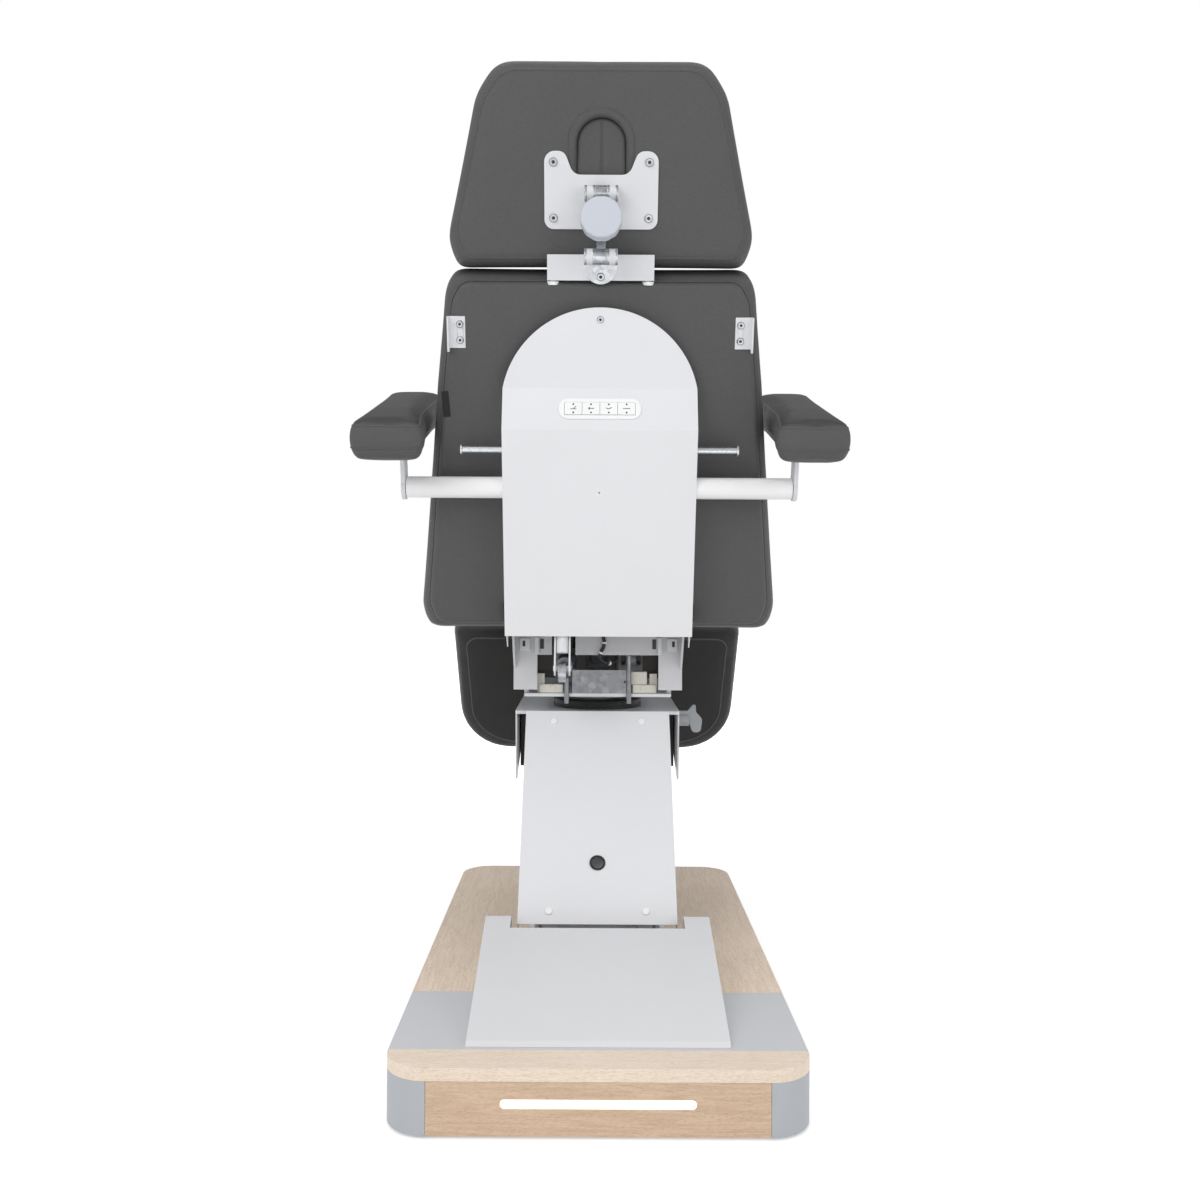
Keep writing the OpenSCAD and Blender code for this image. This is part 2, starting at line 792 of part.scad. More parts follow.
module back_frame() {
    color(white) in_back() {
        difference() {
            union() {
                both_sides() translate([post_x - post_w / 2, post_y, -hinge_d])
                    cube([post_w, post_t, post_top + hinge_d]);
                both_sides() bar_x(2 * hinge_d - 2, post_w, post_x);
            }
            bar_x(hinge_d + 2 * play, 4 * post_x);
        }
        for (z = cross_bars)
            translate([-post_x, post_y, z]) cube([2 * post_x, post_t, post_w]);
        both_sides() translate([guide_x, 0, 0]) difference() {
            union() {
                translate([0, guide_y, cross_bars[2]]) cylinder(d = guide_d, h = guide_to - cross_bars[2]);
                translate([-guide_bore / 2, 0, cross_bars[2]]) cube([guide_bore, guide_y, guide_lug_h]);
            }
            translate([0, guide_y, guide_floor]) cylinder(d = guide_bore + 2 * play, h = guide_to);
        }
        for (x = [-1, 1]) across(crank_w, crank_x + x * (eye_w / 2 + crank_w)) hull() {
            translate(crank_pin) circle(crank_eye_r, $fn = 32);
            translate([post_y, cross_bars[0]]) square([post_t, over]);
        }
        translate([crank_x, crank_pin.x + crank_tube_from.x, crank_pin.y + crank_tube_from.y])
            rotate([crank_tube_lean, 0, 0]) cylinder(d = crank_tube_d, h = crank_tube_l);
        bar_x(lug_pin_d, eye_w + 4 * crank_w, crank_x, crank_pin.x, crank_pin.y);
    }
}

module back_board() {
    w = back_w / 2 - seat_side;
    l = back_l / 2 - seat_side;
    color(skai) in_back() difference() {
        translate([0, cushion_y, back_l / 2 - cushion_drop]) rotate([90, 0, 0]) linear_extrude(ply_t)
            polygon(rounded([for (p = back_shares) [p.x * w, p.y * l, seat_side]], 5));
        both_sides() translate([guide_x - guide_d / 2 - gap, 0, cross_bars[2] - over])
            cube([guide_d + 2 * gap, cushion_y + over, guide_to]);
        both_sides() translate([post_x - post_w / 2 - gap, 0, -back_l])
            cube([hinge_pin[1] + over - post_x + post_w / 2, cushion_y + over, back_l + hinge_d + over]);
    }
}
back_shares = [[-0.96, -1], [0.96, -1], [1, -0.86], [0.88, 0.4], [0.82, 0.9], [0.76, 1],
    [-0.76, 1], [-0.82, 0.9], [-0.88, 0.4], [-1, -0.86]];
back_radius = [26, 26, 40, 900, 60, 26, 26, 60, 900, 40];
back_edge = 22;
back_crown = 12;

module back_cushion() {
    w = back_w / 2;
    l = back_l / 2;
    outline = rounded([for (k = [0:len(back_shares) - 1])
        [back_shares[k].x * w, back_shares[k].y * l, back_radius[k]]], 4);
    color(skai) in_back() translate([0, cushion_y + back_t / 2, l - cushion_drop])
        rotate([90, 0, 0]) mirror([0, 0, 1])
            cushion(outline, [w, l], back_t, back_edge, back_crown, 0);
}

// Folded rear cover: flat lower part, sloped keypad panel and a domed upper part
shell_y = -50;
shell_t = 2;
shell_low = -28;
fold_low = 340;
fold_high = 405;
dome_drop = 59;
dome_top = back_top - dome_drop;
tip_l = 38;
dome_y = post_y - shell_t;
dome_h = dome_top - fold_high;
dome_r = (shell_w * shell_w / 4 + dome_h * dome_h) / (2 * dome_h);
slope = atan2(fold_high - fold_low, dome_y - shell_y);
rod_y = -16;
rod_z = 300;
rod_d = 12;
rod_half = 238;
knob_cut = 27;

module shell_profile(in) {
    polygon([[cushion_y - ply_t - over + in / over, shell_low - in], [shell_y + in, shell_low - in],
        [shell_y + in, fold_low], [dome_y + in, fold_high],
        [cushion_y - ply_t - over + in / over, fold_high]]);
}

module back_cover() {
    color(white) in_back() difference() {
        union() {
            difference() {
                across(shell_w) shell_profile(0);
                across(shell_w - 2 * shell_t) shell_profile(shell_t);
            }
            intersection() {
                translate([0, dome_y + shell_t, fold_high - dome_r + dome_h])
                    rotate([90, 0, 0]) cylinder(r = dome_r, h = shell_t, $fn = 96);
                translate([-shell_w / 2, dome_y - over, fold_high - over])
                    cube([shell_w, shell_t + 2 * over, dome_r]);
            }
            both_sides() across(shell_t, (shell_w - shell_t) / 2)
                polygon([[shell_y / 2, shell_low + over], [cushion_y / 2, shell_low + over],
                    [0, shell_low - tip_l]]);
        }
        bar_x(2 * hinge_d - lip, 2 * shell_w);
        bar_x(bar_d + 2 * gap, 2 * shell_w, 0, tube_y, tube_z);
        bar_x(rod_d + 2 * gap, 2 * shell_w, 0, rod_y, rod_z);
        translate([0, shell_y - over, fold_low - 4 * knob_cut]) rotate([-90, 0, 0])
            cylinder(d = shell_t + over, h = 2 * shell_t);
        both_sides() translate([post_x - post_w / 2 - over, dome_y + shell_t, fold_low])
            cube([post_w + 2 * over, post_t, dome_r]);
    }
}

module cover_screw() {
    color(zinc) in_back() translate([0, dome_y, dome_top - 2 * screw_d])
        rotate([90, 0, 0]) screw_head(screw_d, screw_h);
}

// Keypad on the sloped panel: x to the right, y up the slope, z out of it
module in_keypad() {
    in_back() translate([0, (shell_y + dome_y) / 2, (fold_low + fold_high) / 2])
        rotate([slope, 0, 0]) children();
}
pad_plate_w = 140;
pad_plate_h = 37;
pad_plate_t = 3;
rocker_w = 29.5;
rocker_h = 22;
rocker_low = 0.4;
rocker_side = 1.8;
rocker_top = 4;
rocker_gap = 0.6;

module keypad_surround() {
    color(white) in_keypad() linear_extrude(pad_plate_t) difference() {
        round_rect(pad_plate_w, pad_plate_h, pad_plate_h / 2 - over);
        square([4 * rocker_w + 5 * rocker_gap, rocker_h + 2 * rocker_gap], center = true);
    }
}

module rocker(k) {
    h = rocker_h / 2;
    color(white) in_keypad() across(rocker_w, (k - 2.5) * (rocker_w + rocker_gap))
        polygon([[-h, rocker_top], [-h, rocker_side], [0, rocker_low], [h, rocker_side],
            [h, rocker_top], [0, rocker_top - rocker_low]]);
}

module rocker_1() {
    rocker(1);
}

module rocker_2() {
    rocker(2);
}

module rocker_3() {
    rocker(3);
}

module rocker_4() {
    rocker(4);
}

// Armrest tube across the back, with the stub pins that the armrests turn on
tube_half = 332;
arm_pin_d = 20;
arm_plate_t = 7;
arm_plate_gap = 1;

module arm_tube() {
    color(white) in_back() {
        bar_x(bar_d, 2 * tube_half, 0, tube_y, tube_z);
        bar_x(arm_pin_d, 2 * (tube_half + arm_plate_gap + arm_plate_t + over), 0, tube_y, tube_z);
    }
}

module roll_rod() {
    color(zinc) in_back() {
        bar_x(rod_d, 2 * rod_half, 0, rod_y, rod_z);
        both_sides() bar_x(2 * rod_d - screw_d / 2, 3, rod_half, rod_y, rod_z);
    }
}

// Angle brackets near the top corners of the back
hook_x = 244;
hook_w = 30;
hook_h = 53;
hook_drop = 102;
hook_z = back_top - hook_drop;
hook_t = 3;
hook_d = 14;

module accessory_brackets() {
    y = cushion_y - ply_t;
    color(white) in_back() both_sides() {
        translate([hook_x - hook_w / 2, y - hook_t, hook_z - hook_h / 2]) cube([hook_w, hook_t, hook_h]);
        translate([hook_x + hook_w / 2 - hook_t, y - hook_d, hook_z - hook_h / 2 - lip])
            cube([hook_t, hook_d, hook_h + lip]);
        for (z = [-1, 1])
            translate([hook_x - lip, y - hook_t, hook_z + z * hook_h / 4])
                rotate([90, 0, 0]) screw_head(screw_d, screw_h);
    }
}

// Headrest carriage: crossbar on two sliding posts, with the lower half of the hinge
car_w = 179;
car_h = 42;
car_drop = 16;
car_z = back_top - car_drop;
car_t = 18;
car_post_l = 125;
car_y = cushion_y - gap - car_t;
knuckle_d = 26;
knuckle_w = 54;
mid_w = 18;
web_w = 15;
bolt_depth = 3;
hinge_set = [-25, 23];
hinge_span = [29, 100];
head_low = [hinge_set.x, back_top + hinge_set.y];
head_high = head_low + hinge_span;
head_pin_d = 10;
flange_t = 4;
head_gap = 4;
head_cushion_z = back_top + head_gap;

module knuckle_pair(at) {
    both_sides()
        bar_x(knuckle_d, (knuckle_w - mid_w) / 2 - gap, (knuckle_w + mid_w) / 4 + gap / 2, at.x, at.y);
    bar_x(head_pin_d, knuckle_w, 0, at.x, at.y);
}

module head_carriage() {
    color(white) in_back() {
        translate([-car_w / 2, car_y, car_z]) cube([car_w, car_t, car_h]);
        both_sides() translate([guide_x, guide_y, car_z - car_post_l])
            cylinder(d = guide_bore, h = car_post_l + over);
    }
    color(zinc) in_back() {
        translate([0, car_y + over, 0]) rotate([90, 0, 0]) linear_extrude(flange_t + over) {
            translate([0, car_z + knuckle_w / 2 - lip]) circle(d = knuckle_w);
            translate([-knuckle_w / 2, car_z + knuckle_w / 2 - lip]) square([knuckle_w, knuckle_w / 3]);
        }
        knuckle_pair(head_low);
        both_sides() translate([mid_w / 2 + gap, head_low.x, head_low.y - knuckle_d / 2])
            cube([(knuckle_w - mid_w) / 2 - gap, car_y - flange_t - head_low.x + over, knuckle_d - lip]);
        translate([0, car_y - flange_t, car_z + lip]) rotate([90, 0, 0]) screw_head(screw_d, screw_h);
    }
}

module head_link() {
    span = norm(head_high - head_low);
    lean = atan2(head_high.y - head_low.y, head_high.x - head_low.x);
    color(zinc) in_back() difference() {
        union() {
            for (p = [head_low, head_high]) bar_x(knuckle_d, mid_w, 0, p.x, p.y);
            translate([0, head_low.x, head_low.y]) rotate([lean, 0, 0])
                translate([-web_w / 2, 0, -knuckle_d / 4]) cube([web_w, span, knuckle_d / 2]);
            translate([0, head_low.x, head_low.y]) rotate([lean, 0, 0])
                translate([0, span / 2, 0]) cylinder(d = 2 * knuckle_d - lip, h = knuckle_d - lip);
        }
        for (p = [head_low, head_high]) bar_x(head_pin_d + 2 * play, knuckle_w, 0, p.x, p.y);
        translate([0, head_low.x, head_low.y]) rotate([lean, 0, 0])
            translate([0, span / 2, -bolt_depth]) cylinder(d = head_pin_d + 2 * play, h = 2 * knuckle_d);
    }
}

knob_d = 68;
knob_h = 26;
knob_lobes = 8;
lobe_shares = [0.62, 0.3];
knob_low = knuckle_d - lip + gap;

module clamp_knob() {
    span = norm(head_high - head_low);
    lean = atan2(head_high.y - head_low.y, head_high.x - head_low.x);
    color(grey) in_back() translate([0, head_low.x, head_low.y])
    rotate([lean, 0, 0]) translate([0, span / 2, 0]) {
        translate([0, 0, over]) cylinder(d = head_pin_d, h = knob_low);
        translate([0, 0, knob_low]) difference() {
            cylinder(d = knob_d, h = knob_h);
            for (a = [0:360 / knob_lobes:359])
                rotate(a) translate([knob_d * lobe_shares.x, 0, -over])
                    cylinder(d = knob_d * lobe_shares.y, h = knob_h + 2 * over);
        }
    }
}

head_plate_w = 188;
head_plate_h = 123;
plate_rise = 128;
head_plate_z = back_top + plate_rise;
plate_screws = [158, 88];
// Right half of the plate's outline, from its foot up over the ear and down to the neck notch
plate_shares = [[1, -1, 15], [1, 1, 17], [0.65, 1, 15], [0.49, 0.4, 18]];
function head_plate_outline() =
    [for (side = [1, -1], k = [0:3])
        let (p = plate_shares[side > 0 ? k : 3 - k])
        [side * p.x * head_plate_w / 2, p.y * head_plate_h / 2, p.z]];

module head_plate() {
    color(white) in_back() translate([0, cushion_y - gap, head_plate_z]) rotate([90, 0, 0])
        linear_extrude(flange_t) polygon(rounded(head_plate_outline(), 6));
    color(zinc) in_back() {
        for (x = [-1, 1], z = [-1, 1])
            translate([x * plate_screws.x / 2, cushion_y - gap - flange_t,
                head_plate_z + z * plate_screws.y / 2])
                rotate([90, 0, 0]) screw_head(screw_d, screw_h);
        knuckle_pair(head_high);
        both_sides() translate([mid_w / 2 + gap, head_high.x, head_high.y - knuckle_d / 2])
            cube([(knuckle_w - mid_w) / 2 - gap, cushion_y - gap - head_high.x - flange_t + over, knuckle_d]);
    }
}

head_shares = [[-0.93, -1], [0.93, -1], [1, -0.7], [0.8, 0.68],
    [0.66, 1], [-0.66, 1], [-0.8, 0.68], [-1, -0.7]];
head_radius = [24, 24, 60, 90, 50, 50, 90, 60];
head_edge = 20;
head_crown = 12;
hole_w = 84;
hole_rise = 113;
hole_low = back_top + hole_rise;
hole_h = 130;
hole_high = hole_low + hole_h;

module face_outline(in) {
    r = hole_w / 2 - in;
    for (z = [hole_low + hole_w / 2, hole_high - hole_w / 2]) translate([0, z]) circle(r);
    translate([-r, hole_low + hole_w / 2]) square([2 * r, hole_high - hole_low - hole_w]);
}

module headrest_cushion() {
    w = head_w / 2;
    l = head_l / 2;
    outline = rounded([for (k = [0:len(head_shares) - 1])
        [head_shares[k].x * w, head_shares[k].y * l, head_radius[k]]], 4);
    color(skai) in_back() difference() {
        translate([0, cushion_y + head_t / 2, head_cushion_z + l]) rotate([90, 0, 0]) mirror([0, 0, 1])
            cushion(outline, [w, l], head_t, head_edge, head_crown, 0);
        translate([0, cushion_y + 2 * head_t, 0]) rotate([90, 0, 0])
            linear_extrude(3 * head_t) face_outline(0);
    }
}

module face_plug() {
    color(skai) in_back() translate([0, cushion_y + head_t - lip, 0]) rotate([90, 0, 0])
        linear_extrude(head_t - 2 * lip) face_outline(gap);
}

// Armrests: a bracket that turns on the tube, and the pad on it
pad_z = 297;
pad_from = -143;
pad_x = 347;
tray_t = 4;
tray_w = 80;
tray_from = -70;
tray_l = 220;
pad_edge = 14;
pad_crown = 6;
pad_base_crown = 4;

module arm_bracket() {
    x = tube_half + arm_plate_gap;
    color(white) in_back() difference() {
        union() {
            across(arm_plate_t, x + arm_plate_t / 2) {
                translate([tube_y, tube_z]) circle(d = bar_d + lip);
                translate([tube_y - bar_d / 2, tube_z]) square([bar_d, pad_z - tube_z]);
            }
            translate([x, tray_from, pad_z - tray_t]) cube([tray_w - 2 * lip, tray_l, tray_t]);
        }
        bar_x(arm_pin_d + 2 * play, 4 * tube_half, 0, tube_y, tube_z);
    }
}

module arm_pad() {
    w = pad_w / 2;
    l = pad_l / 2;
    outline = rounded([for (p = pad_shares) [p.x * w, p.y * l, pad_edge]], 4);
    color(skai) in_back() translate([pad_x, pad_from + l, pad_z + pad_t / 2])
        cushion(outline, [w, l], pad_t, pad_edge, pad_crown, pad_base_crown);
}
pad_shares = [[-1, -1], [1, -1], [0.94, 1], [-0.79, 1], [-0.79, -0.2]];

module arm_right() {
    arm_bracket();
}

module pad_right() {
    arm_pad();
}

module arm_left() {
    mirror([1, 0, 0]) arm_bracket();
}

module pad_left() {
    mirror([1, 0, 0]) arm_pad();
}

// Leg rest, drawn level about its hinge and then let down: y runs to the toes and z out of the pad
module in_leg() {
    translate([0, leg_axis.x, leg_axis.y]) rotate([leg_lean - 90, 0, 0]) children();
}
leg_crank = [82, -37];
leg_low = 30;
leg_from = 5;
leg_arm_t = 6;
leg_arm_x = side_x - side_t / 2 - 1 - leg_arm_t / 2;
leg_arm_l = 270;
leg_bars = [72, 210];

module leg_frame() {
    color(white) in_leg() {
        difference() {
            both_sides() across(leg_arm_t, leg_arm_x) {
                circle(d = hinge_d + leg_pin_d);
                translate([0, 0]) square([leg_arm_l, hinge_d - over]);
                translate([leg_from + hinge_d, 0]) square([leg_arm_l - hinge_d, leg_low]);
            }
            bar_x(leg_pin_d + 2 * play, 4 * leg_arm_x);
        }
        for (y = leg_bars)
            translate([-leg_arm_x, y, leg_low - bar_h]) cube([2 * leg_arm_x, bar_l, bar_h]);
        translate([leg_motor_x, 0, 0]) {
            both_sides() across(lug_t, lug_x) hull() {
                translate(leg_crank) circle(lug_pin_d, $fn = 32);
                translate([leg_bars[0], leg_low - bar_h]) square([bar_l, over]);
            }
            bar_x(lug_pin_d, 2 * lug_x, 0, leg_crank.x, leg_crank.y);
        }
    }
}

leg_shares = [[-1, -1], [1, -1], [0.96, 1], [-0.96, 1]];
leg_radius = [30, 30, 118, 118];
leg_edge = 24;
leg_crown = 12;

module leg_cushion() {
    w = leg_w / 2;
    l = leg_l / 2;
    outline = rounded([for (k = [0:len(leg_shares) - 1])
        [leg_shares[k].x * w, leg_shares[k].y * l, leg_radius[k]]], 10);
    color(skai) in_leg() translate([0, leg_from + l, leg_low + leg_t / 2])
        cushion(outline, [w, l], leg_t, leg_edge, leg_crown, 0);
}

// Linear actuators: y runs from the foot pivot to the head pivot, whose eye stays open round its pin
act_tube_d = 32;
act_rod_d = 18;
act_block = [46, 64, 66];
act_block_from = 16;
act_can_d = 40;
act_can_l = 80;
// Sizes of the lift, back, tilt and leg actuators, in this order
eye_slack = [5.2, 8.3, 0.7, 6.8];
eye_set = [[-4.8, -0.3], [1.8, -7.6], [0.1, 0.2], [3.3, -5.5]];
eye_wall = 4;
body_lengths = [225, 270, 210, 270];
rod_lengths = [185, 225, 180, 300];

module in_actuator(foot, eye, x) {
    translate([x, foot.x, foot.y]) rotate([atan2(eye.y - foot.y, eye.x - foot.x), 0, 0]) children();
}

module actuator_body(foot, eye, x, body_l, side) {
    color("gainsboro") in_actuator(foot, eye, x) difference() {
        union() {
            bar_x(eye_d - lip, eye_w);
            translate([-eye_w / 2, 0, -eye_w / 2]) cube([eye_w, act_block_from + over, eye_w]);
            translate([-act_block.x / 2, act_block_from, side > 0 ? -eye_w : eye_w - act_block.z])
                cube(act_block);
            translate([0, act_block_from, 0]) rotate([-90, 0, 0])
                cylinder(d = act_tube_d, h = body_l - act_block_from);
            translate([0, act_block_from + act_block.y - over,
                side * (act_block.z - act_can_d / 2 - eye_w - over)])
                rotate([-90, 0, 0]) cylinder(d = act_can_d, h = act_can_l);
        }
        bar_x(lug_pin_d + 2 * play, 2 * eye_w);
        translate([0, act_block_from + act_block.y, 0]) rotate([-90, 0, 0])
            cylinder(d = act_rod_d + 2 * play, h = 2 * body_l);
    }
}

module actuator_rod(foot, eye, x, inside, slack) {
    span = norm(eye - foot);
    color(zinc) in_actuator(foot, eye, x) difference() {
        union() {
            translate([0, span - inside, 0]) rotate([-90, 0, 0])
                cylinder(d = act_rod_d, h = inside - eye_w / 2);
            translate([0, span, 0]) bar_x(max(eye_d, lug_pin_d + 2 * (slack + eye_wall)), eye_w - lip);
        }
        translate([0, span, 0]) bar_x(lug_pin_d + 2 * slack, 2 * eye_w);
    }
}

module lift_motor() {
    actuator_body(motor_foot, eyes[0], 0, body_lengths[0], 1);
}

module lift_rod() {
    actuator_rod(motor_foot, eyes[0], 0, rod_lengths[0], eye_slack[0]);
}

module back_motor() {
    actuator_body(back_foot, eyes[1], crank_x, body_lengths[1], 1);
}

module back_rod() {
    actuator_rod(back_foot, eyes[1], crank_x, rod_lengths[1], eye_slack[1]);
}

module tilt_motor() {
    actuator_body(tilt_foot, eyes[2], 0, body_lengths[2], -1);
}

module tilt_rod() {
    actuator_rod(tilt_foot, eyes[2], 0, rod_lengths[2], eye_slack[2]);
}

module leg_motor() {
    actuator_body(leg_foot, eyes[3], leg_motor_x, body_lengths[3], 1);
}

module leg_rod() {
    actuator_rod(leg_foot, eyes[3], leg_motor_x, rod_lengths[3], eye_slack[3]);
}

// A place in the leaned back or the let-down leg rest, as seen in the chair
function turned(p, a) = [p.x * cos(a) - p.y * sin(a), p.x * sin(a) + p.y * cos(a)];
back_crank = turned(crank_pin, back_lean);
leg_crank_rest = turned(leg_crank, leg_lean - 90);
eyes = [arm_head + motor_head + eye_set[0], back_axis + back_crank + eye_set[1], tilt_rod_pin + eye_set[2],
    leg_axis + leg_crank_rest + eye_set[3]];

deck_board();
deck_band();
deck_strip();
end_panels();
side_panels();
corner_covers();
base_chassis();
led_diffuser();
levelling_feet();
power_inlet();
column_cover();
column_bracket();
lift_arm();
arm_cover();
arm_cover_screws();
arm_grommet();
lift_link();
top_bracket();
control_box();
swivel_ring();
brake_lever();
turntable();
zinc_plate();
seat_frame();
seat_board();
seat_cushion();
harness_cable();
back_frame();
back_board();
back_cushion();
back_cover();
cover_screw();
keypad_surround();
rocker_1();
rocker_2();
rocker_3();
rocker_4();
arm_tube();
roll_rod();
accessory_brackets();
head_carriage();
head_link();
clamp_knob();
head_plate();
headrest_cushion();
face_plug();
arm_left();
pad_left();
arm_right();
pad_right();
leg_frame();
leg_cushion();
lift_motor();
lift_rod();
back_motor();
back_rod();
tilt_motor();
tilt_rod();
leg_motor();
leg_rod();
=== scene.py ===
import math

import bmesh
import bpy
from mathutils import Matrix, Vector
from mathutils.bvhtree import BVHTree


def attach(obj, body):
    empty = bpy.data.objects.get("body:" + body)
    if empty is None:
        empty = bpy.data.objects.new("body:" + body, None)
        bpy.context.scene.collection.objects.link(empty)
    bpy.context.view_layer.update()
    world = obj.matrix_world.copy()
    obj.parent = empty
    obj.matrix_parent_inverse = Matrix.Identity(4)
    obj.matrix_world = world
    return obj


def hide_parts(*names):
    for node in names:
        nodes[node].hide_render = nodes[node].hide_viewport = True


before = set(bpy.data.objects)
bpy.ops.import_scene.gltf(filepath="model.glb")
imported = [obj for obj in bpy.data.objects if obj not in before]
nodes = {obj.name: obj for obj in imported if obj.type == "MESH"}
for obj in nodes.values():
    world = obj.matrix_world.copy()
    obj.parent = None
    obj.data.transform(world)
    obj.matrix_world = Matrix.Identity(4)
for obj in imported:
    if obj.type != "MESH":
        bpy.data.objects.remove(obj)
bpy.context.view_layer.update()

scene = bpy.context.scene

# Places shared with the solids, in metres
BACK_AXIS = Vector((0, -0.10303, 0.68001))
BACK_LEAN = math.radians(16)
LEG_AXIS = Vector((0, 0.43697, 0.62001))
LEG_LEAN = math.radians(24 - 90)
ARM_FOOT = Vector((0, -0.232, 0.147))
ARM_RISE = math.radians(53.6)
in_back = Matrix.Translation(BACK_AXIS) @ Matrix.Rotation(BACK_LEAN, 4, "X")
in_leg = Matrix.Translation(LEG_AXIS) @ Matrix.Rotation(LEG_LEAN, 4, "X")
in_arm = Matrix.Translation(ARM_FOOT) @ Matrix.Rotation(ARM_RISE, 4, "X")
KEYPAD = Vector((0, -0.0305, 0.3725))
KEYPAD_SLOPE = math.atan2(65, 39)
in_keypad = in_back @ Matrix.Translation(KEYPAD) @ Matrix.Rotation(KEYPAD_SLOPE, 4, "X")
QUARTER = math.pi / 2
UNMOVED = Matrix()


# Objects and nodes

def put_object(name, data):
    obj = bpy.data.objects.new(name, data)
    scene.collection.objects.link(obj)
    return obj


def feed(tree, socket, value):
    """Links a socket to another node's output, or sets it to a plain value"""
    if hasattr(value, "is_linked"):
        tree.links.new(value, socket)
    else:
        socket.default_value = value


def wire(tree, node, **values):
    """Feeds a node's inputs by name"""
    for key, value in values.items():
        feed(tree, node.inputs[key.replace("_", " ")], value)


def add_node(tree, kind, **values):
    """A node whose settings and inputs are given by name"""
    node = tree.nodes.new(kind)
    for key, value in values.items():
        if hasattr(node, key):
            setattr(node, key, value)
        else:
            wire(tree, node, **{key: value})
    return node


def mix_colour(tree, factor, first, second, blend="MIX"):
    node = add_node(tree, "ShaderNodeMix", data_type="RGBA", blend_type=blend)
    for index, value in ((0, factor), (6, first), (7, second)):
        feed(tree, node.inputs[index], value)
    return node.outputs[2]


def calculate(tree, operation, first, second=0.0, clamp=False):
    node = add_node(tree, "ShaderNodeMath", operation=operation, use_clamp=clamp)
    feed(tree, node.inputs[0], first)
    feed(tree, node.inputs[1], second)
    return node.outputs[0]


def scaled(tree, value, gain, offset, clamp=False):
    return calculate(tree, "ADD", calculate(tree, "MULTIPLY", value, gain), offset, clamp)


def vector_math(tree, operation, *values):
    node = add_node(tree, "ShaderNodeVectorMath", operation=operation)
    for socket, value in zip(node.inputs, values):
        feed(tree, socket, value)
    return node.outputs


def object_place(tree):
    return tree.nodes.new("ShaderNodeTexCoord").outputs["Object"]


def noise(tree, place, scale, detail, output="Fac", **values):
    node = add_node(tree, "ShaderNodeTexNoise", Vector=place, Scale=scale, Detail=detail, **values)
    return node.outputs[output]


# Camera and light

LENS = 35
SENSOR = 36
CAMERA_AT = (-0.0126, -2.213, 0.752)
CAMERA_ROLL = math.radians(-0.3)
CAMERA_SHIFT = (0.0070, -0.0225)
# Lamps: name, place, aim, size and power
LAMPS = [
    ("key_lamp", (-2.2, -3.2, 3.0), (0, 0, 0.8), 2.6, 56),
    ("fill_lamp", (2.8, -2.8, 2.0), (0, 0, 0.7), 2.6, 28),
    ("top_lamp", (0, 0.4, 3.6), (0, 0, 0.6), 2.4, 28),
]
# Strength of the white room as a light, and as the camera sees it
ROOM_LIGHT = 0.58
ROOM_SEEN = 1.0
FLOOR_REACH = 12


def make_camera():
    data = bpy.data.cameras.new("camera")
    data.lens = LENS
    data.sensor_width = SENSOR
    camera = put_object("camera", data)
    camera.location = CAMERA_AT
    camera.rotation_euler = (QUARTER, CAMERA_ROLL, 0)
    data.shift_x, data.shift_y = CAMERA_SHIFT
    scene.camera = camera


def add_lamp(name, place, aim, size, power):
    data = bpy.data.lights.new(name, "AREA")
    data.shape = "SQUARE"
    data.size = size
    data.energy = power
    lamp = put_object(name, data)
    lamp.location = place
    lamp.rotation_euler = (Vector(aim) - Vector(place)).to_track_quat("-Z", "Y").to_euler()


def make_studio():
    for lamp in LAMPS:
        add_lamp(*lamp)
    world = bpy.data.worlds.new("studio")
    scene.world = world
    world.use_nodes = True
    tree = world.node_tree
    rays = tree.nodes.new("ShaderNodeLightPath").outputs
    clear = calculate(tree, "MAXIMUM", rays["Is Camera Ray"], rays["Is Transmission Ray"])
    strength = add_node(tree, "ShaderNodeMapRange", Value=clear, To_Min=ROOM_LIGHT, To_Max=ROOM_SEEN)
    wire(tree, tree.nodes["Background"], Color=(1, 1, 1, 1), Strength=strength.outputs[0])


def make_floor(material):
    mesh = bpy.data.meshes.new("floor")
    bm = bmesh.new()
    bmesh.ops.create_grid(bm, x_segments=1, y_segments=1, size=FLOOR_REACH)
    bm.to_mesh(mesh)
    bm.free()
    floor = put_object("floor", mesh)
    floor.data.materials.append(material)


scene.view_settings.view_transform = "Standard"
make_camera()
make_studio()


# Shared effects

def new_group(name, inputs, outputs):
    group = bpy.data.node_groups.new(name, "ShaderNodeTree")
    for label, kind, value in inputs:
        socket = group.interface.new_socket(label, in_out="INPUT", socket_type=kind)
        socket.default_value = value
    for label, kind in outputs:
        group.interface.new_socket(label, in_out="OUTPUT", socket_type=kind)
    entry = group.nodes.new("NodeGroupInput")
    leave = group.nodes.new("NodeGroupOutput")
    return group, entry.outputs, leave


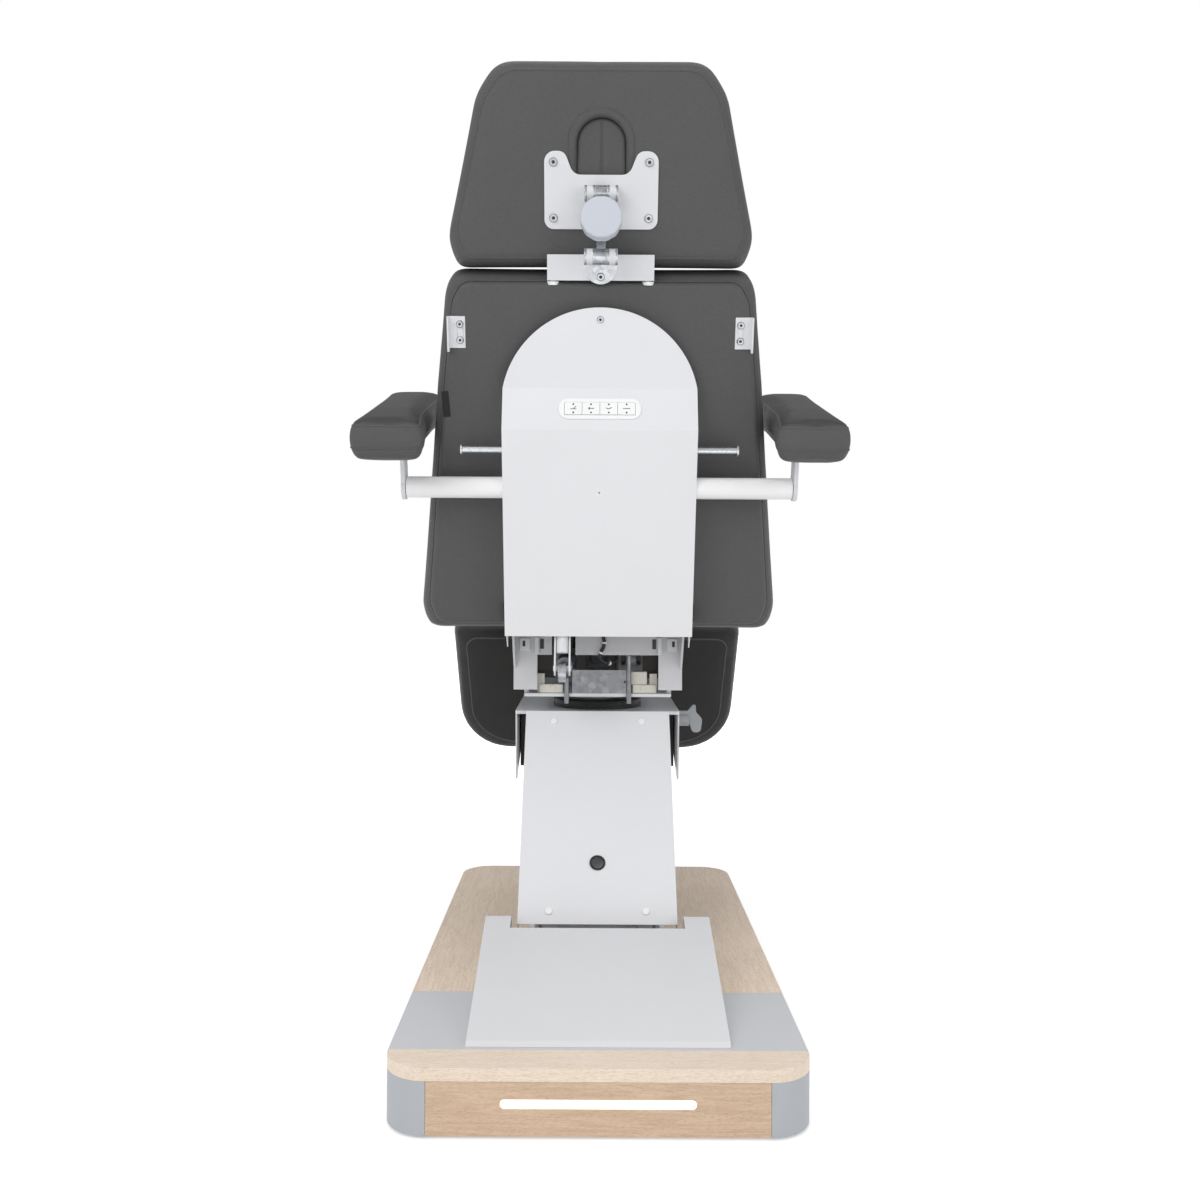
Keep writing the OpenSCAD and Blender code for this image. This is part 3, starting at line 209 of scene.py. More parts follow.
# Slow change of tone over a surface, with a fine change on top of it
def tone_group():
    group, entry, leave = new_group(
        "tone",
        [("Colour", "NodeSocketColor", (0.5, 0.5, 0.5, 1)), ("Scale", "NodeSocketFloat", 6.0),
         ("Spread", "NodeSocketFloat", 0.08), ("Roughness", "NodeSocketFloat", 0.4)],
        [("Colour", "NodeSocketColor"), ("Roughness", "NodeSocketFloat")])
    place = object_place(group)
    level = calculate(group, "SUBTRACT", noise(group, place, entry["Scale"], 3.0), 0.5)
    detail = calculate(group, "SUBTRACT", noise(group, place, 140.0, 2.0), 0.5)
    both = calculate(group, "ADD", level, calculate(group, "MULTIPLY", detail, 0.4))
    gain = scaled(group, both, entry["Spread"], 1.0)
    grey = add_node(group, "ShaderNodeCombineColor", Red=gain, Green=gain, Blue=gain)
    rough = calculate(group, "ADD", entry["Roughness"], calculate(group, "MULTIPLY", both, 0.12), True)
    toned = mix_colour(group, 1.0, entry["Colour"], grey.outputs[0], "MULTIPLY")
    wire(group, leave, Colour=toned, Roughness=rough)
    return group


# Pebbled grain of leatherette: small cells with soft furrows, and a slow unevenness
def grain_group():
    group, entry, leave = new_group(
        "pebble_grain", [("Scale", "NodeSocketFloat", 700.0)],
        [("Height", "NodeSocketFloat"), ("Furrow", "NodeSocketFloat")])
    place = object_place(group)
    bend = noise(group, place, 260.0, 2.0, "Color")
    warped = vector_math(group, "MULTIPLY_ADD", bend, (0.002, 0.002, 0.002), place)[0]
    cells = add_node(group, "ShaderNodeTexVoronoi", feature="DISTANCE_TO_EDGE", Vector=warped,
                     Scale=entry["Scale"])
    furrow = add_node(group, "ShaderNodeMapRange", Value=cells.outputs["Distance"], From_Max=0.14).outputs[0]
    slow = calculate(group, "MULTIPLY", noise(group, place, 34.0, 4.0), 1.6)
    wire(group, leave, Height=calculate(group, "ADD", furrow, slow), Furrow=furrow)
    return group


# Grain of sawn oak along one axis: long streaks, darker pores and slow plank tone
def oak_group():
    group, entry, leave = new_group(
        "oak_grain",
        [("Stretch", "NodeSocketVector", (1, 1, 1)), ("Light", "NodeSocketColor", (0.8, 0.6, 0.4, 1)),
         ("Dark", "NodeSocketColor", (0.6, 0.4, 0.25, 1))],
        [("Colour", "NodeSocketColor"), ("Height", "NodeSocketFloat"), ("Roughness", "NodeSocketFloat")])
    spread = vector_math(group, "MULTIPLY", object_place(group), entry["Stretch"])[0]
    rings = calculate(group, "MULTIPLY", noise(group, spread, 3.2, 3.0, Distortion=0.6), 46.0)
    bands = scaled(group, calculate(group, "SINE", rings), 0.5, 0.5)
    streaks = calculate(group, "MULTIPLY", noise(group, spread, 34.0, 6.0, Roughness=0.66), 0.8)
    pores = noise(group, spread, 150.0, 3.0, Roughness=0.5)
    pore_mask = add_node(group, "ShaderNodeMapRange", Value=pores, From_Min=0.36, From_Max=0.46).outputs[0]
    blend = scaled(group, bands, 0.3, streaks, True)
    wood = mix_colour(group, blend, entry["Light"], entry["Dark"])
    pore_tone = mix_colour(group, pore_mask, (0.78, 0.72, 0.66, 1), (1, 1, 1, 1))
    wire(group, leave, Colour=mix_colour(group, 1.0, wood, pore_tone, "MULTIPLY"),
         Height=calculate(group, "ADD", pore_mask, calculate(group, "MULTIPLY", blend, -0.5)),
         Roughness=scaled(group, blend, 0.12, 0.4))
    return group


# Skin of a coated or moulded surface: fine even pits, and soft long waves
def skin_group():
    group, entry, leave = new_group(
        "moulded_skin", [("Scale", "NodeSocketFloat", 900.0), ("Wave", "NodeSocketFloat", 30.0)],
        [("Height", "NodeSocketFloat")])
    place = object_place(group)
    pits = noise(group, place, entry["Scale"], 2.0)
    waves = noise(group, place, entry["Wave"], 1.0)
    wire(group, leave, Height=calculate(group, "ADD", pits, waves))
    return group


# Zinc plating: pale and dark flakes, with fine drawn lines along x
def spangle_group():
    group, entry, leave = new_group(
        "zinc_spangle", [("Scale", "NodeSocketFloat", 150.0)],
        [("Tone", "NodeSocketColor"), ("Roughness", "NodeSocketFloat"), ("Height", "NodeSocketFloat")])
    place = object_place(group)
    flakes = add_node(group, "ShaderNodeTexVoronoi", feature="F1", Vector=place, Scale=entry["Scale"])
    value = add_node(group, "ShaderNodeSeparateColor", Color=flakes.outputs["Color"]).outputs
    lines = add_node(group, "ShaderNodeMapping", Vector=place, Scale=(0.04, 1, 1))
    wire(group, leave, Tone=mix_colour(group, value[0], (0.52, 0.54, 0.57, 1), (0.72, 0.74, 0.76, 1)),
         Roughness=scaled(group, value[1], 0.16, 0.26),
         Height=noise(group, lines.outputs[0], 1500.0, 2.0))
    return group


tone = tone_group()
pebble = grain_group()
oak = oak_group()
skin = skin_group()
spangle = spangle_group()


# Materials

# Vertex value of the painted shade on one side of the pads, and the darker tone that it paints
PAINTED_SHADE_ATTR = "painted_shade"
PAINTED_SHADE_TONE = (0.34, 0.34, 0.34, 1)
FURROW_TONE = (0.72, 0.72, 0.72, 1)
# Black painted shade inside the seat frame
INSIDE_SHADE = (0.02, 0.02, 0.021, 1)
# Painted shade shows ahead of this line across the seat frame, and this far to each side
INSIDE_SHADE_FROM = -0.032
INSIDE_SHADE_HALF = 0.1529
# Depth of each bump, in metres
COAT_DEPTH = 0.0004
GRAIN_DEPTH = 0.0005
PLATE_DEPTH = 0.0003
# Distance from the chair over which the floor fades into the room's white, and its glow at both ends
FLOOR_FADE = {"From_Min": 1.2, "From_Max": 4.0, "To_Min": 0.44, "To_Max": 1.0}


def new_material(name):
    material = bpy.data.materials.new(name)
    material.use_nodes = True
    tree = material.node_tree
    return material, tree, tree.nodes["Principled BSDF"]


def place_group(tree, group, **values):
    node = tree.nodes.new("ShaderNodeGroup")
    node.node_tree = group
    wire(tree, node, **values)
    return node.outputs


def add_bump(tree, shader, height, strength, distance):
    bump = add_node(tree, "ShaderNodeBump", Strength=strength, Distance=distance, Height=height)
    wire(tree, shader, Normal=bump.outputs[0])


def paint_inside_shade(tree, coat):
    """Black painted shade in place of the coat inside the seat frame"""
    parts = add_node(tree, "ShaderNodeSeparateXYZ", Vector=object_place(tree)).outputs
    ahead = calculate(tree, "GREATER_THAN", parts[1], INSIDE_SHADE_FROM)
    between = calculate(tree, "LESS_THAN", calculate(tree, "ABSOLUTE", parts[0]), INSIDE_SHADE_HALF)
    return mix_colour(tree, calculate(tree, "MULTIPLY", ahead, between), coat, INSIDE_SHADE)


def coated(name, colour, roughness, pit=900.0, strength=0.12, inside_shaded=False):
    material, tree, shader = new_material(name)
    surface = place_group(tree, tone, Colour=(*colour, 1), Scale=5.0, Spread=0.05, Roughness=roughness)
    coat = paint_inside_shade(tree, surface["Colour"]) if inside_shaded else surface["Colour"]
    wire(tree, shader, Base_Color=coat, Roughness=surface["Roughness"], Specular_IOR_Level=0.5)
    add_bump(tree, shader, place_group(tree, skin, Scale=pit)["Height"], strength, COAT_DEPTH)
    return material


def leatherette(name, colour, scale=620.0):
    material, tree, shader = new_material(name)
    surface = place_group(tree, tone, Colour=(*colour, 1), Scale=7.0, Spread=0.16, Roughness=0.5)
    grain = place_group(tree, pebble, Scale=scale)
    furrows = mix_colour(tree, grain["Furrow"], FURROW_TONE, (1, 1, 1, 1))
    grained = mix_colour(tree, 1.0, surface["Colour"], furrows, "MULTIPLY")
    # Painted shade: where the vertex value is set, the leatherette is multiplied darker
    shade = add_node(tree, "ShaderNodeAttribute", attribute_name=PAINTED_SHADE_ATTR)
    deep = mix_colour(tree, 1.0, grained, PAINTED_SHADE_TONE, "MULTIPLY")
    wire(tree, shader, Base_Color=mix_colour(tree, shade.outputs["Fac"], grained, deep),
         Roughness=surface["Roughness"], Specular_IOR_Level=0.2)
    add_bump(tree, shader, grain["Height"], 0.35, GRAIN_DEPTH)
    return material


def laminate(name, stretch, light, dark):
    material, tree, shader = new_material(name)
    grain = place_group(tree, oak, Stretch=stretch, Light=(*light, 1), Dark=(*dark, 1))
    wire(tree, shader, Base_Color=grain["Colour"], Roughness=grain["Roughness"], Specular_IOR_Level=0.4)
    add_bump(tree, shader, grain["Height"], 0.18, COAT_DEPTH)
    return material


def plated(name, scale=150.0, strength=0.08, dim=1.0):
    material, tree, shader = new_material(name)
    surface = place_group(tree, spangle, Scale=scale)
    dulled = mix_colour(tree, 1.0, surface["Tone"], (dim, dim, dim, 1), "MULTIPLY")
    wire(tree, shader, Base_Color=dulled, Roughness=surface["Roughness"], Metallic=1.0)
    add_bump(tree, shader, surface["Height"], strength, PLATE_DEPTH)
    return material


def glowing(name, colour, strength):
    material, tree, shader = new_material(name)
    surface = place_group(tree, tone, Colour=(*colour, 1), Scale=20.0, Spread=0.02, Roughness=0.5)
    wire(tree, shader, Base_Color=surface["Colour"], Emission_Color=surface["Colour"],
         Emission_Strength=strength)
    return material


def pale_floor():
    """White floor that is seen as part of the room away from the chair"""
    material, tree, shader = new_material("pale_floor")
    surface = place_group(tree, tone, Colour=(0.9, 0.9, 0.9, 1), Scale=2.0, Spread=0.01, Roughness=0.7)
    rays = tree.nodes.new("ShaderNodeLightPath").outputs
    seen = calculate(tree, "MAXIMUM", rays["Is Camera Ray"], rays["Is Glossy Ray"])
    reach = vector_math(tree, "LENGTH", object_place(tree))["Value"]
    far = add_node(tree, "ShaderNodeMapRange", Value=reach, **FLOOR_FADE)
    wire(tree, shader, Base_Color=surface["Colour"], Roughness=0.8, Specular_IOR_Level=0.1,
         Emission_Color=(1, 1, 1, 1),
         Emission_Strength=calculate(tree, "MULTIPLY", seen, far.outputs[0]))
    return material


white_coat = coated("white_powder_coat", (0.76, 0.77, 0.795), 0.42)
cover_coat = coated("cover_white_coat", (0.82, 0.825, 0.85), 0.46)
base_cover_coat = coated("base_cover_coat", (0.76, 0.765, 0.785), 0.46)
tube_coat = coated("bright_white_coat", (0.97, 0.97, 0.98), 0.36)
grey_coat = coated("grey_powder_coat", (0.47, 0.49, 0.52), 0.5, 700.0, 0.2)
band_coat = coated("light_grey_coat", (0.64, 0.655, 0.68), 0.5, 700.0, 0.2)
# Black enamel of the swivel ring; also painted shade on the leg frame, in the frame's slots and in the
# screws' sockets
black_coat_and_shade = coated("black_enamel_and_shade", (0.022, 0.022, 0.024), 0.4)
chassis_coat = coated("chassis_primer", (0.03, 0.03, 0.032), 0.6)
white_plastic = coated("white_plastic", (0.96, 0.965, 0.97), 0.38, 1400.0, 0.06)
black_plastic = coated("black_plastic", (0.02, 0.02, 0.021), 0.5, 1100.0, 0.3)
grey_plastic = coated("grey_plastic", (0.60, 0.63, 0.70), 0.45, 1100.0, 0.25)
lever_plastic = coated("lever_plastic", (0.34, 0.36, 0.38), 0.4, 1100.0, 0.2)
motor_plastic = coated("motor_plastic", (0.55, 0.56, 0.57), 0.45, 1100.0, 0.2)
rubber = coated("black_rubber", (0.02, 0.02, 0.02), 0.75, 800.0, 0.3)
cream_plastic = coated("cream_plastic", (0.74, 0.71, 0.64), 0.5, 1100.0, 0.2)
ink = coated("key_mark_ink", (0.05, 0.05, 0.055), 0.5, 1400.0, 0.05)
label_cloth = coated("label_cloth", (0.012, 0.012, 0.013), 0.8, 2200.0, 0.6)
skai = leatherette("grey_leatherette", (0.112, 0.112, 0.114))
ply = leatherette("backing_cloth", (0.02, 0.02, 0.02), 1500.0)
oak_along = laminate("oak_along", (14.0, 1.0, 14.0), (1.0, 0.87, 0.73), (0.80, 0.63, 0.48))
oak_strip = laminate("oak_strip", (1.0, 14.0, 14.0), (0.98, 0.86, 0.74), (0.84, 0.70, 0.56))
oak_across = laminate("oak_across", (1.0, 14.0, 14.0), (0.80, 0.62, 0.46), (0.58, 0.41, 0.28))
zinc = plated("zinc_plate_finish", dim=0.78)
dull_zinc = plated("galvanised_sheet", 110.0, 0.05, 0.36)
bright_steel = plated("bright_steel", 900.0, 0.05)
# The seat frame's coat, with black painted shade inside it
frame_coat_and_shade = coated("frame_coat_and_shade", (0.64, 0.645, 0.665), 0.42, inside_shaded=True)
led = glowing("lit_diffuser", (1.0, 1.0, 1.0), 1.6)

make_floor(pale_floor())


# Finish of the carried-over solids: rounded edges and smooth round faces

# Angles in degrees between two faces
SMOOTH_BELOW = 32
BEVEL_ABOVE = 38
WELD_GAP = 0.00002


def smooth_group():
    group = bpy.data.node_groups.new("round_faces_smooth", "GeometryNodeTree")
    group.interface.new_socket("Mesh", in_out="INPUT", socket_type="NodeSocketGeometry")
    group.interface.new_socket("Mesh", in_out="OUTPUT", socket_type="NodeSocketGeometry")
    entry = group.nodes.new("NodeGroupInput")
    leave = group.nodes.new("NodeGroupOutput")
    faces = add_node(group, "GeometryNodeSetShadeSmooth", domain="FACE", Geometry=entry.outputs[0])
    angle = group.nodes.new("GeometryNodeInputMeshEdgeAngle").outputs["Unsigned Angle"]
    keep = add_node(group, "FunctionNodeCompare", data_type="FLOAT", operation="LESS_THAN")
    feed(group, keep.inputs[0], angle)
    feed(group, keep.inputs[1], math.radians(SMOOTH_BELOW))
    edges = add_node(group, "GeometryNodeSetShadeSmooth", domain="EDGE",
                     Geometry=faces.outputs["Geometry"], Shade_Smooth=keep.outputs[0])
    group.links.new(edges.outputs["Geometry"], leave.inputs[0])
    return group


smooth_faces = smooth_group()


def smooth_over(obj):
    """Smooth round faces, shaded by the size of the flat faces beside them"""
    smooth = obj.modifiers.new("smooth", "NODES")
    smooth.node_group = smooth_faces
    weighted = obj.modifiers.new("weighted_normals", "WEIGHTED_NORMAL")
    weighted.keep_sharp = True


def dress(material, width, *names, fold=BEVEL_ABOVE):
    """Gives solids a finish, with edges sharper than the fold rounded to a width"""
    for name in names:
        obj = nodes[name]
        for slot in obj.material_slots:
            slot.link = "OBJECT"
            slot.material = material
        weld = obj.modifiers.new("weld", "WELD")
        weld.merge_threshold = WELD_GAP
        if width:
            bevel = obj.modifiers.new("bevel", "BEVEL")
            bevel.width = width
            bevel.segments = 2
            bevel.limit_method = "ANGLE"
            bevel.angle_limit = math.radians(fold)
            bevel.use_clamp_overlap = True
        smooth_over(obj)


dress(oak_along, 0.0012, "deck_board")
dress(oak_strip, 0.0012, "deck_strip")
dress(oak_across, 0.0012, "end_panels")
dress(band_coat, 0.0008, "deck_band")
dress(grey_coat, 0.0008, "side_panels", "corner_covers")
dress(chassis_coat, 0.001, "base_chassis")
dress(led, 0, "led_diffuser")
dress(rubber, 0.001, "levelling_feet", "arm_grommet")
dress(black_plastic, 0.001, "power_inlet", "control_box")
dress(black_coat_and_shade, 0.0005, "swivel_ring")
dress(cover_coat, 0.0006, "arm_cover")
dress(cover_coat, 0.0008, "back_cover", fold=25)
dress(base_cover_coat, 0.0006, "column_cover")
dress(tube_coat, 0.0008, "arm_tube")
# Painted shade: the leg frame is made black for the dark under the seat
dress(black_coat_and_shade, 0.0008, "leg_frame")
dress(frame_coat_and_shade, 0.0008, "seat_frame")
dress(white_coat, 0.0008, "column_bracket", "lift_arm", "lift_link", "top_bracket", "turntable",
      "back_frame", "accessory_brackets", "head_carriage", "head_plate", "arm_left", "arm_right")
dress(white_plastic, 0.0006, "keypad_surround", "rocker_1", "rocker_2", "rocker_3", "rocker_4")
dress(dull_zinc, 0.0005, "zinc_plate")
dress(zinc, 0.0005, "head_link", "lift_rod", "back_rod", "tilt_rod", "leg_rod")
dress(bright_steel, 0.0005, "roll_rod")
dress(lever_plastic, 0.0015, "brake_lever")
dress(motor_plastic, 0.002, "lift_motor", "back_motor", "tilt_motor", "leg_motor")
dress(ply, 0.001, "seat_board")


# Making pieces

# Distance under which two points or heights count as one
NEAR = 1e-6


def add_piece(name, bm, material, body, place=None, smooth=True):
    """Turns a bmesh into a finished piece that rides on a body"""
    if place is not None:
        bmesh.ops.transform(bm, matrix=place, verts=bm.verts)
    bmesh.ops.recalc_face_normals(bm, faces=bm.faces)
    mesh = bpy.data.meshes.new(name)
    bm.to_mesh(mesh)
    bm.free()
    piece = put_object(name, mesh)
    mesh.materials.append(material)
    if smooth:
        smooth_over(piece)
    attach(piece, body)
    return piece


def move(bm, verts, place):
    bmesh.ops.transform(bm, matrix=place, verts=verts)


def round_edges(bm, edges, offset, segments=2):
    return bmesh.ops.bevel(bm, geom=edges, offset=offset, affect="EDGES", segments=segments,
                           profile=0.5, material=-1, offset_type="OFFSET")


def level_edges(edges, axis):
    """The edges whose two ends lie equally far along an axis"""
    return [e for e in edges if abs(e.verts[0].co[axis] - e.verts[1].co[axis]) < NEAR]


def cone(bm, low_radius, high_radius, height, segments):
    """Points of a capped cone about z, centred on the origin"""
    return bmesh.ops.create_cone(bm, cap_ends=True, segments=segments, radius1=low_radius,
                                 radius2=high_radius, depth=height)["verts"]


def joined_to(verts):
    """All the points that edges join to the given ones"""
    linked = set()
    stack = list(verts)
    while stack:
        vert = stack.pop()
        if vert in linked:
            continue
        linked.add(vert)
        stack.extend(e.other_vert(vert) for e in vert.link_edges)
    return list(linked)


def add_disc(bm, radius, low, high, segments=32, place=None, bevel=0.0):
    """A round block from low to high along z, with its rims rounded"""
    verts = cone(bm, radius, radius, high - low, segments)
    move(bm, verts, Matrix.Translation((0, 0, (low + high) / 2)))
    if bevel:
        cut = round_edges(bm, level_edges({e for v in verts for e in v.link_edges}, 2), bevel)
        verts = joined_to({v for v in verts if v.is_valid} | {v for f in cut["faces"] for v in f.verts})
    if place is not None:
        move(bm, verts, place)


def add_block(bm, size, centre, bevel=0.0, place=None):
    verts = bmesh.ops.create_cube(bm, size=1)["verts"]
    move(bm, verts, Matrix.Translation(centre) @ Matrix.Diagonal((*size, 1)))
    if bevel:
        cut = round_edges(bm, list({e for v in verts for e in v.link_edges}), bevel)
        verts = list({v for v in verts if v.is_valid} | {v for f in cut["faces"] for v in f.verts})
    if place is not None:
        move(bm, verts, place)


def shown_mesh(obj):
    """The mesh that an object shows, after which the object is removed"""
    mesh = bpy.data.meshes.new_from_object(obj.evaluated_get(bpy.context.evaluated_depsgraph_get()))
    bpy.data.objects.remove(obj)
    return mesh


def sweep(name, kind, route, radius, resolution, closed=False):
    """Mesh of a round section along a route"""
    data = bpy.data.curves.new(name, "CURVE")
    data.dimensions = "3D"
    data.bevel_depth = radius
    data.bevel_resolution = resolution
    data.use_fill_caps = not closed
    spline = data.splines.new(kind)
    spline.points.add(len(route) - 1)
    for point, place in zip(spline.points, route):
        point.co = (*place, 1)
    spline.use_cyclic_u = closed
    if kind == "NURBS":
        spline.use_endpoint_u = True
        spline.order_u = 3
    mesh = shown_mesh(put_object(name, data))
    bpy.data.curves.remove(data)
    bm = bmesh.new()
    bm.from_mesh(mesh)
    bpy.data.meshes.remove(mesh)
    bmesh.ops.remove_doubles(bm, verts=bm.verts, dist=NEAR)
    return bm


def tube(name, route, radius, body, closed=False, sides=4):
    """A round bead of leatherette along a route"""
    bm = sweep(name + "_path", "POLY", route, radius, sides // 2, closed)
    add_piece(name, bm, skai, body)


def slab(outline, lift, front, depth):
    """A block with an outline (x, z) that is lifted along z, from front to depth behind it"""
    bm = bmesh.new()
    face = bm.faces.new([bm.verts.new((p.x, 0, p.y + lift)) for p in outline])
    deep = bmesh.ops.extrude_face_region(bm, geom=[face])
    rear = [v for v in deep["geom"] if isinstance(v, bmesh.types.BMVert)]
    bmesh.ops.translate(bm, verts=rear, vec=(0, -depth, 0))
    bmesh.ops.translate(bm, verts=bm.verts, vec=(0, front, 0))
    bmesh.ops.recalc_face_normals(bm, faces=bm.faces)
    return bm


def rearward(x, y, z, frame_place=UNMOVED):
    """Stands a piece's z to the rear at a place"""
    return frame_place @ Matrix.Translation((x, y, z)) @ Matrix.Rotation(QUARTER, 4, "X")


def sideward(side, x, y, z):
    """Lays a piece's z out to one side at a place"""
    return Matrix.Translation((side * x, y, z)) @ Matrix.Rotation(side * QUARTER, 4, "Y")


def rounded(corners, steps=8):
    """Closed outline whose corners (x, y, radius) are arcs"""
    outline = []
    count = len(corners)
    for i, (x, y, radius) in enumerate(corners):
        here = Vector((x, y))
        before = (Vector(corners[i - 1][:2]) - here).normalized()
        after = (Vector(corners[(i + 1) % count][:2]) - here).normalized()
        half = math.acos(max(-1, min(1, before.dot(after)))) / 2
        centre = here + (before + after).normalized() * radius / math.sin(half)
        first = here + before * radius / math.tan(half) - centre
        last = here + after * radius / math.tan(half) - centre
        start = math.atan2(first.y, first.x)
        sweep_angle = (math.atan2(last.y, last.x) - start + math.pi) % (2 * math.pi) - math.pi
        for k in range(steps + 1):
            turn = start + sweep_angle * k / steps
            outline.append(centre + radius * Vector((math.cos(turn), math.sin(turn))))
    return outline


def inset_outline(outline, half, inset):
    return [Vector((p.x * (1 - inset / half[0]), p.y * (1 - inset / half[1]))) for p in outline]


# Upholstery

SIM_FRAMES = 20
# How far a skin starts below its solid, and ends over it
SKIN_BACK = 0.004
SKIN_OVER = 0.0015
SKIN_MERGE = 1e-5
SMOOTH_SHARE = 0.4
CLOTH = {
    "quality": 4, "mass": 0.4, "tension_stiffness": 25, "compression_stiffness": 12,
    "shear_stiffness": 8, "bending_stiffness": 2, "use_pressure": True, "uniform_pressure_force": 4.0,
}
# Share of a side's facing at which its painted shade starts, and over which it grows to full
SHADE_FROM = 0.35
SHADE_OVER = 0.4


def swell(obj, cap):
    """Blows the skin up as cloth, and keeps every point within the cap of where it was"""
    start = [v.co.copy() for v in obj.data.vertices]
    cloth = obj.modifiers.new("cloth", "CLOTH")
    for key, value in CLOTH.items():
        setattr(cloth.settings, key, value)
    cloth.settings.effector_weights.gravity = 0
    cloth.collision_settings.use_collision = False
    cloth.point_cache.frame_start = 1
    cloth.point_cache.frame_end = SIM_FRAMES
    for number in range(1, SIM_FRAMES + 1):
        scene.frame_set(number)
    shown = obj.evaluated_get(bpy.context.evaluated_depsgraph_get())
    swollen = [v.co.copy() for v in shown.data.vertices]
    obj.modifiers.remove(cloth)
    scene.frame_set(1)
    for vert, before, after in zip(obj.data.vertices, start, swollen):
        shift = after - before
        if shift.length > cap:
            shift *= cap / shift.length
        vert.co = before + shift


def fill_solid(mesh, node, place):
    """Stretches a skin along its own axes until it fills its solid, with a little fullness over it"""
    level = place.inverted()
    solid = [level @ v.co for v in nodes[node].data.vertices]
    skin_points = [level @ v.co for v in mesh.vertices]
    for axis in range(3):
        low = min(p[axis] for p in solid) - SKIN_OVER
        high = max(p[axis] for p in solid) + SKIN_OVER
        first = min(p[axis] for p in skin_points)
        last = max(p[axis] for p in skin_points)
        for point in skin_points:
            point[axis] = low + (point[axis] - first) * (high - low) / (last - first)
    for vert, point in zip(mesh.vertices, skin_points):
        vert.co = place @ point


def start_skin(node, name, voxel):
    """An even mesh a little inside a solid"""
    bm = bmesh.new()
    bm.from_mesh(nodes[node].data)
    bmesh.ops.remove_doubles(bm, verts=bm.verts, dist=SKIN_MERGE)
    bmesh.ops.recalc_face_normals(bm, faces=bm.faces)
    bm.normal_update()
    for vert in bm.verts:
        vert.co -= vert.normal * SKIN_BACK
    mesh = bpy.data.meshes.new(name)
    bm.to_mesh(mesh)
    bm.free()
    source = put_object(name + "_form", mesh)
    remesh = source.modifiers.new("remesh", "REMESH")
    remesh.mode = "VOXEL"
    remesh.voxel_size = voxel
    skin_mesh = shown_mesh(source)
    bpy.data.meshes.remove(mesh)
    skin_mesh.name = name
    return skin_mesh


def upholster(node, name, body, voxel, cap, place, shaded_side=(0, 0, 1)):
    """A padded cover over a solid's own form, with painted shade on one side"""
    skin_mesh = start_skin(node, name, voxel)
    piece = put_object(name, skin_mesh)
    skin_mesh.materials.clear()
    skin_mesh.materials.append(skai)
    swell(piece, cap)
    bm = bmesh.new()
    bm.from_mesh(skin_mesh)
    for face in bm.faces:
        face.smooth = True
    for _ in range(2):
        bmesh.ops.smooth_vert(bm, verts=bm.verts, factor=SMOOTH_SHARE, use_axis_x=True, use_axis_y=True,
                              use_axis_z=True)
    bm.to_mesh(skin_mesh)
    bm.free()
    fill_solid(skin_mesh, node, place)
    # Painted shade: the more a point faces the shaded side, the darker its leatherette
    shade = skin_mesh.attributes.new(PAINTED_SHADE_ATTR, "FLOAT", "POINT")
    for vert, value in zip(skin_mesh.vertices, shade.data):
        facing = vert.normal.dot(Vector(shaded_side))
        value.value = max(0.0, min(1.0, (facing - SHADE_FROM) / SHADE_OVER))
    smooth = piece.modifiers.new("subdivision", "SUBSURF")
    smooth.levels = 1
    smooth.render_levels = 1
    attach(piece, body)
    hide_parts(node)
    return piece


def densify(points, step, closed=True):
    dense = []
    count = len(points)
    for i in range(count if closed else count - 1):
        first, second = points[i], points[(i + 1) % count]
        parts = max(1, int((second - first).length / step))
        dense.extend(first.lerp(second, k / parts) for k in range(parts))
    if not closed:
        dense.append(points[-1])
    return dense


WELT = 0.0021
WELT_STEP = 0.006
# Share of a welt's radius that is sunk in its skin
WELT_SUNK = 0.35


def welt(name, piece, points, body, radius=WELT):
    """Piping that lies along a seam of a padded piece"""
    mesh = piece.data
    tree = BVHTree.FromPolygons([v.co for v in mesh.vertices], [p.vertices for p in mesh.polygons])
    route = []
    for point in densify(points, WELT_STEP):
        place, normal, _, _ = tree.find_nearest(point)
        route.append(place - normal * (radius * WELT_SUNK))
    tube(name, route, radius, body, True)


# Outlines of the pads: corners as shares of the half width and half height, with radii in millimetres
SHAPES = {
    "back": [(-0.96, -1, 26), (0.96, -1, 26), (1, -0.86, 40), (0.88, 0.4, 900), (0.82, 0.9, 60),
             (0.76, 1, 26), (-0.76, 1, 26), (-0.82, 0.9, 60), (-0.88, 0.4, 900), (-1, -0.86, 40)],
    "head": [(-0.93, -1, 24), (0.93, -1, 24), (1, -0.7, 60), (0.8, 0.68, 90), (0.66, 1, 50),
             (-0.66, 1, 50), (-0.8, 0.68, 90), (-1, -0.7, 60)],
    "leg": [(-1, -1, 30), (1, -1, 30), (0.96, 1, 118), (-0.96, 1, 118)],
}
BACK_HALF = (0.325, 0.3215)
BACK_MIDDLE = 0.2775
CUSHION_Y = 0.022
HEAD_HALF = (0.259, 0.1625)
HEAD_MIDDLE = 0.7655
LEG_HALF = (0.332, 0.169)
LEG_MIDDLE = 0.174
LEG_FACE = 0.030
# Rear panel of the back: how far it lies inside the pad, its thickness and its rounded rim
PANEL_INSET = 0.019
PANEL_T = 0.0155
PANEL_LAP = 0.001
PANEL_RIM = 0.009
PANEL_WELT = 0.0022
PAD_HALF = (0.0595, 0.185)
PAD_X = 0.347
PAD_MIDDLE = 0.042
PAD_Z = 0.297
PAD_SHAPE = [(-1, -1), (1, -1), (0.94, 1), (-0.79, 1), (-0.79, -0.2)]
PAD_CORNER = 0.014
PAD_WELT = 0.0016

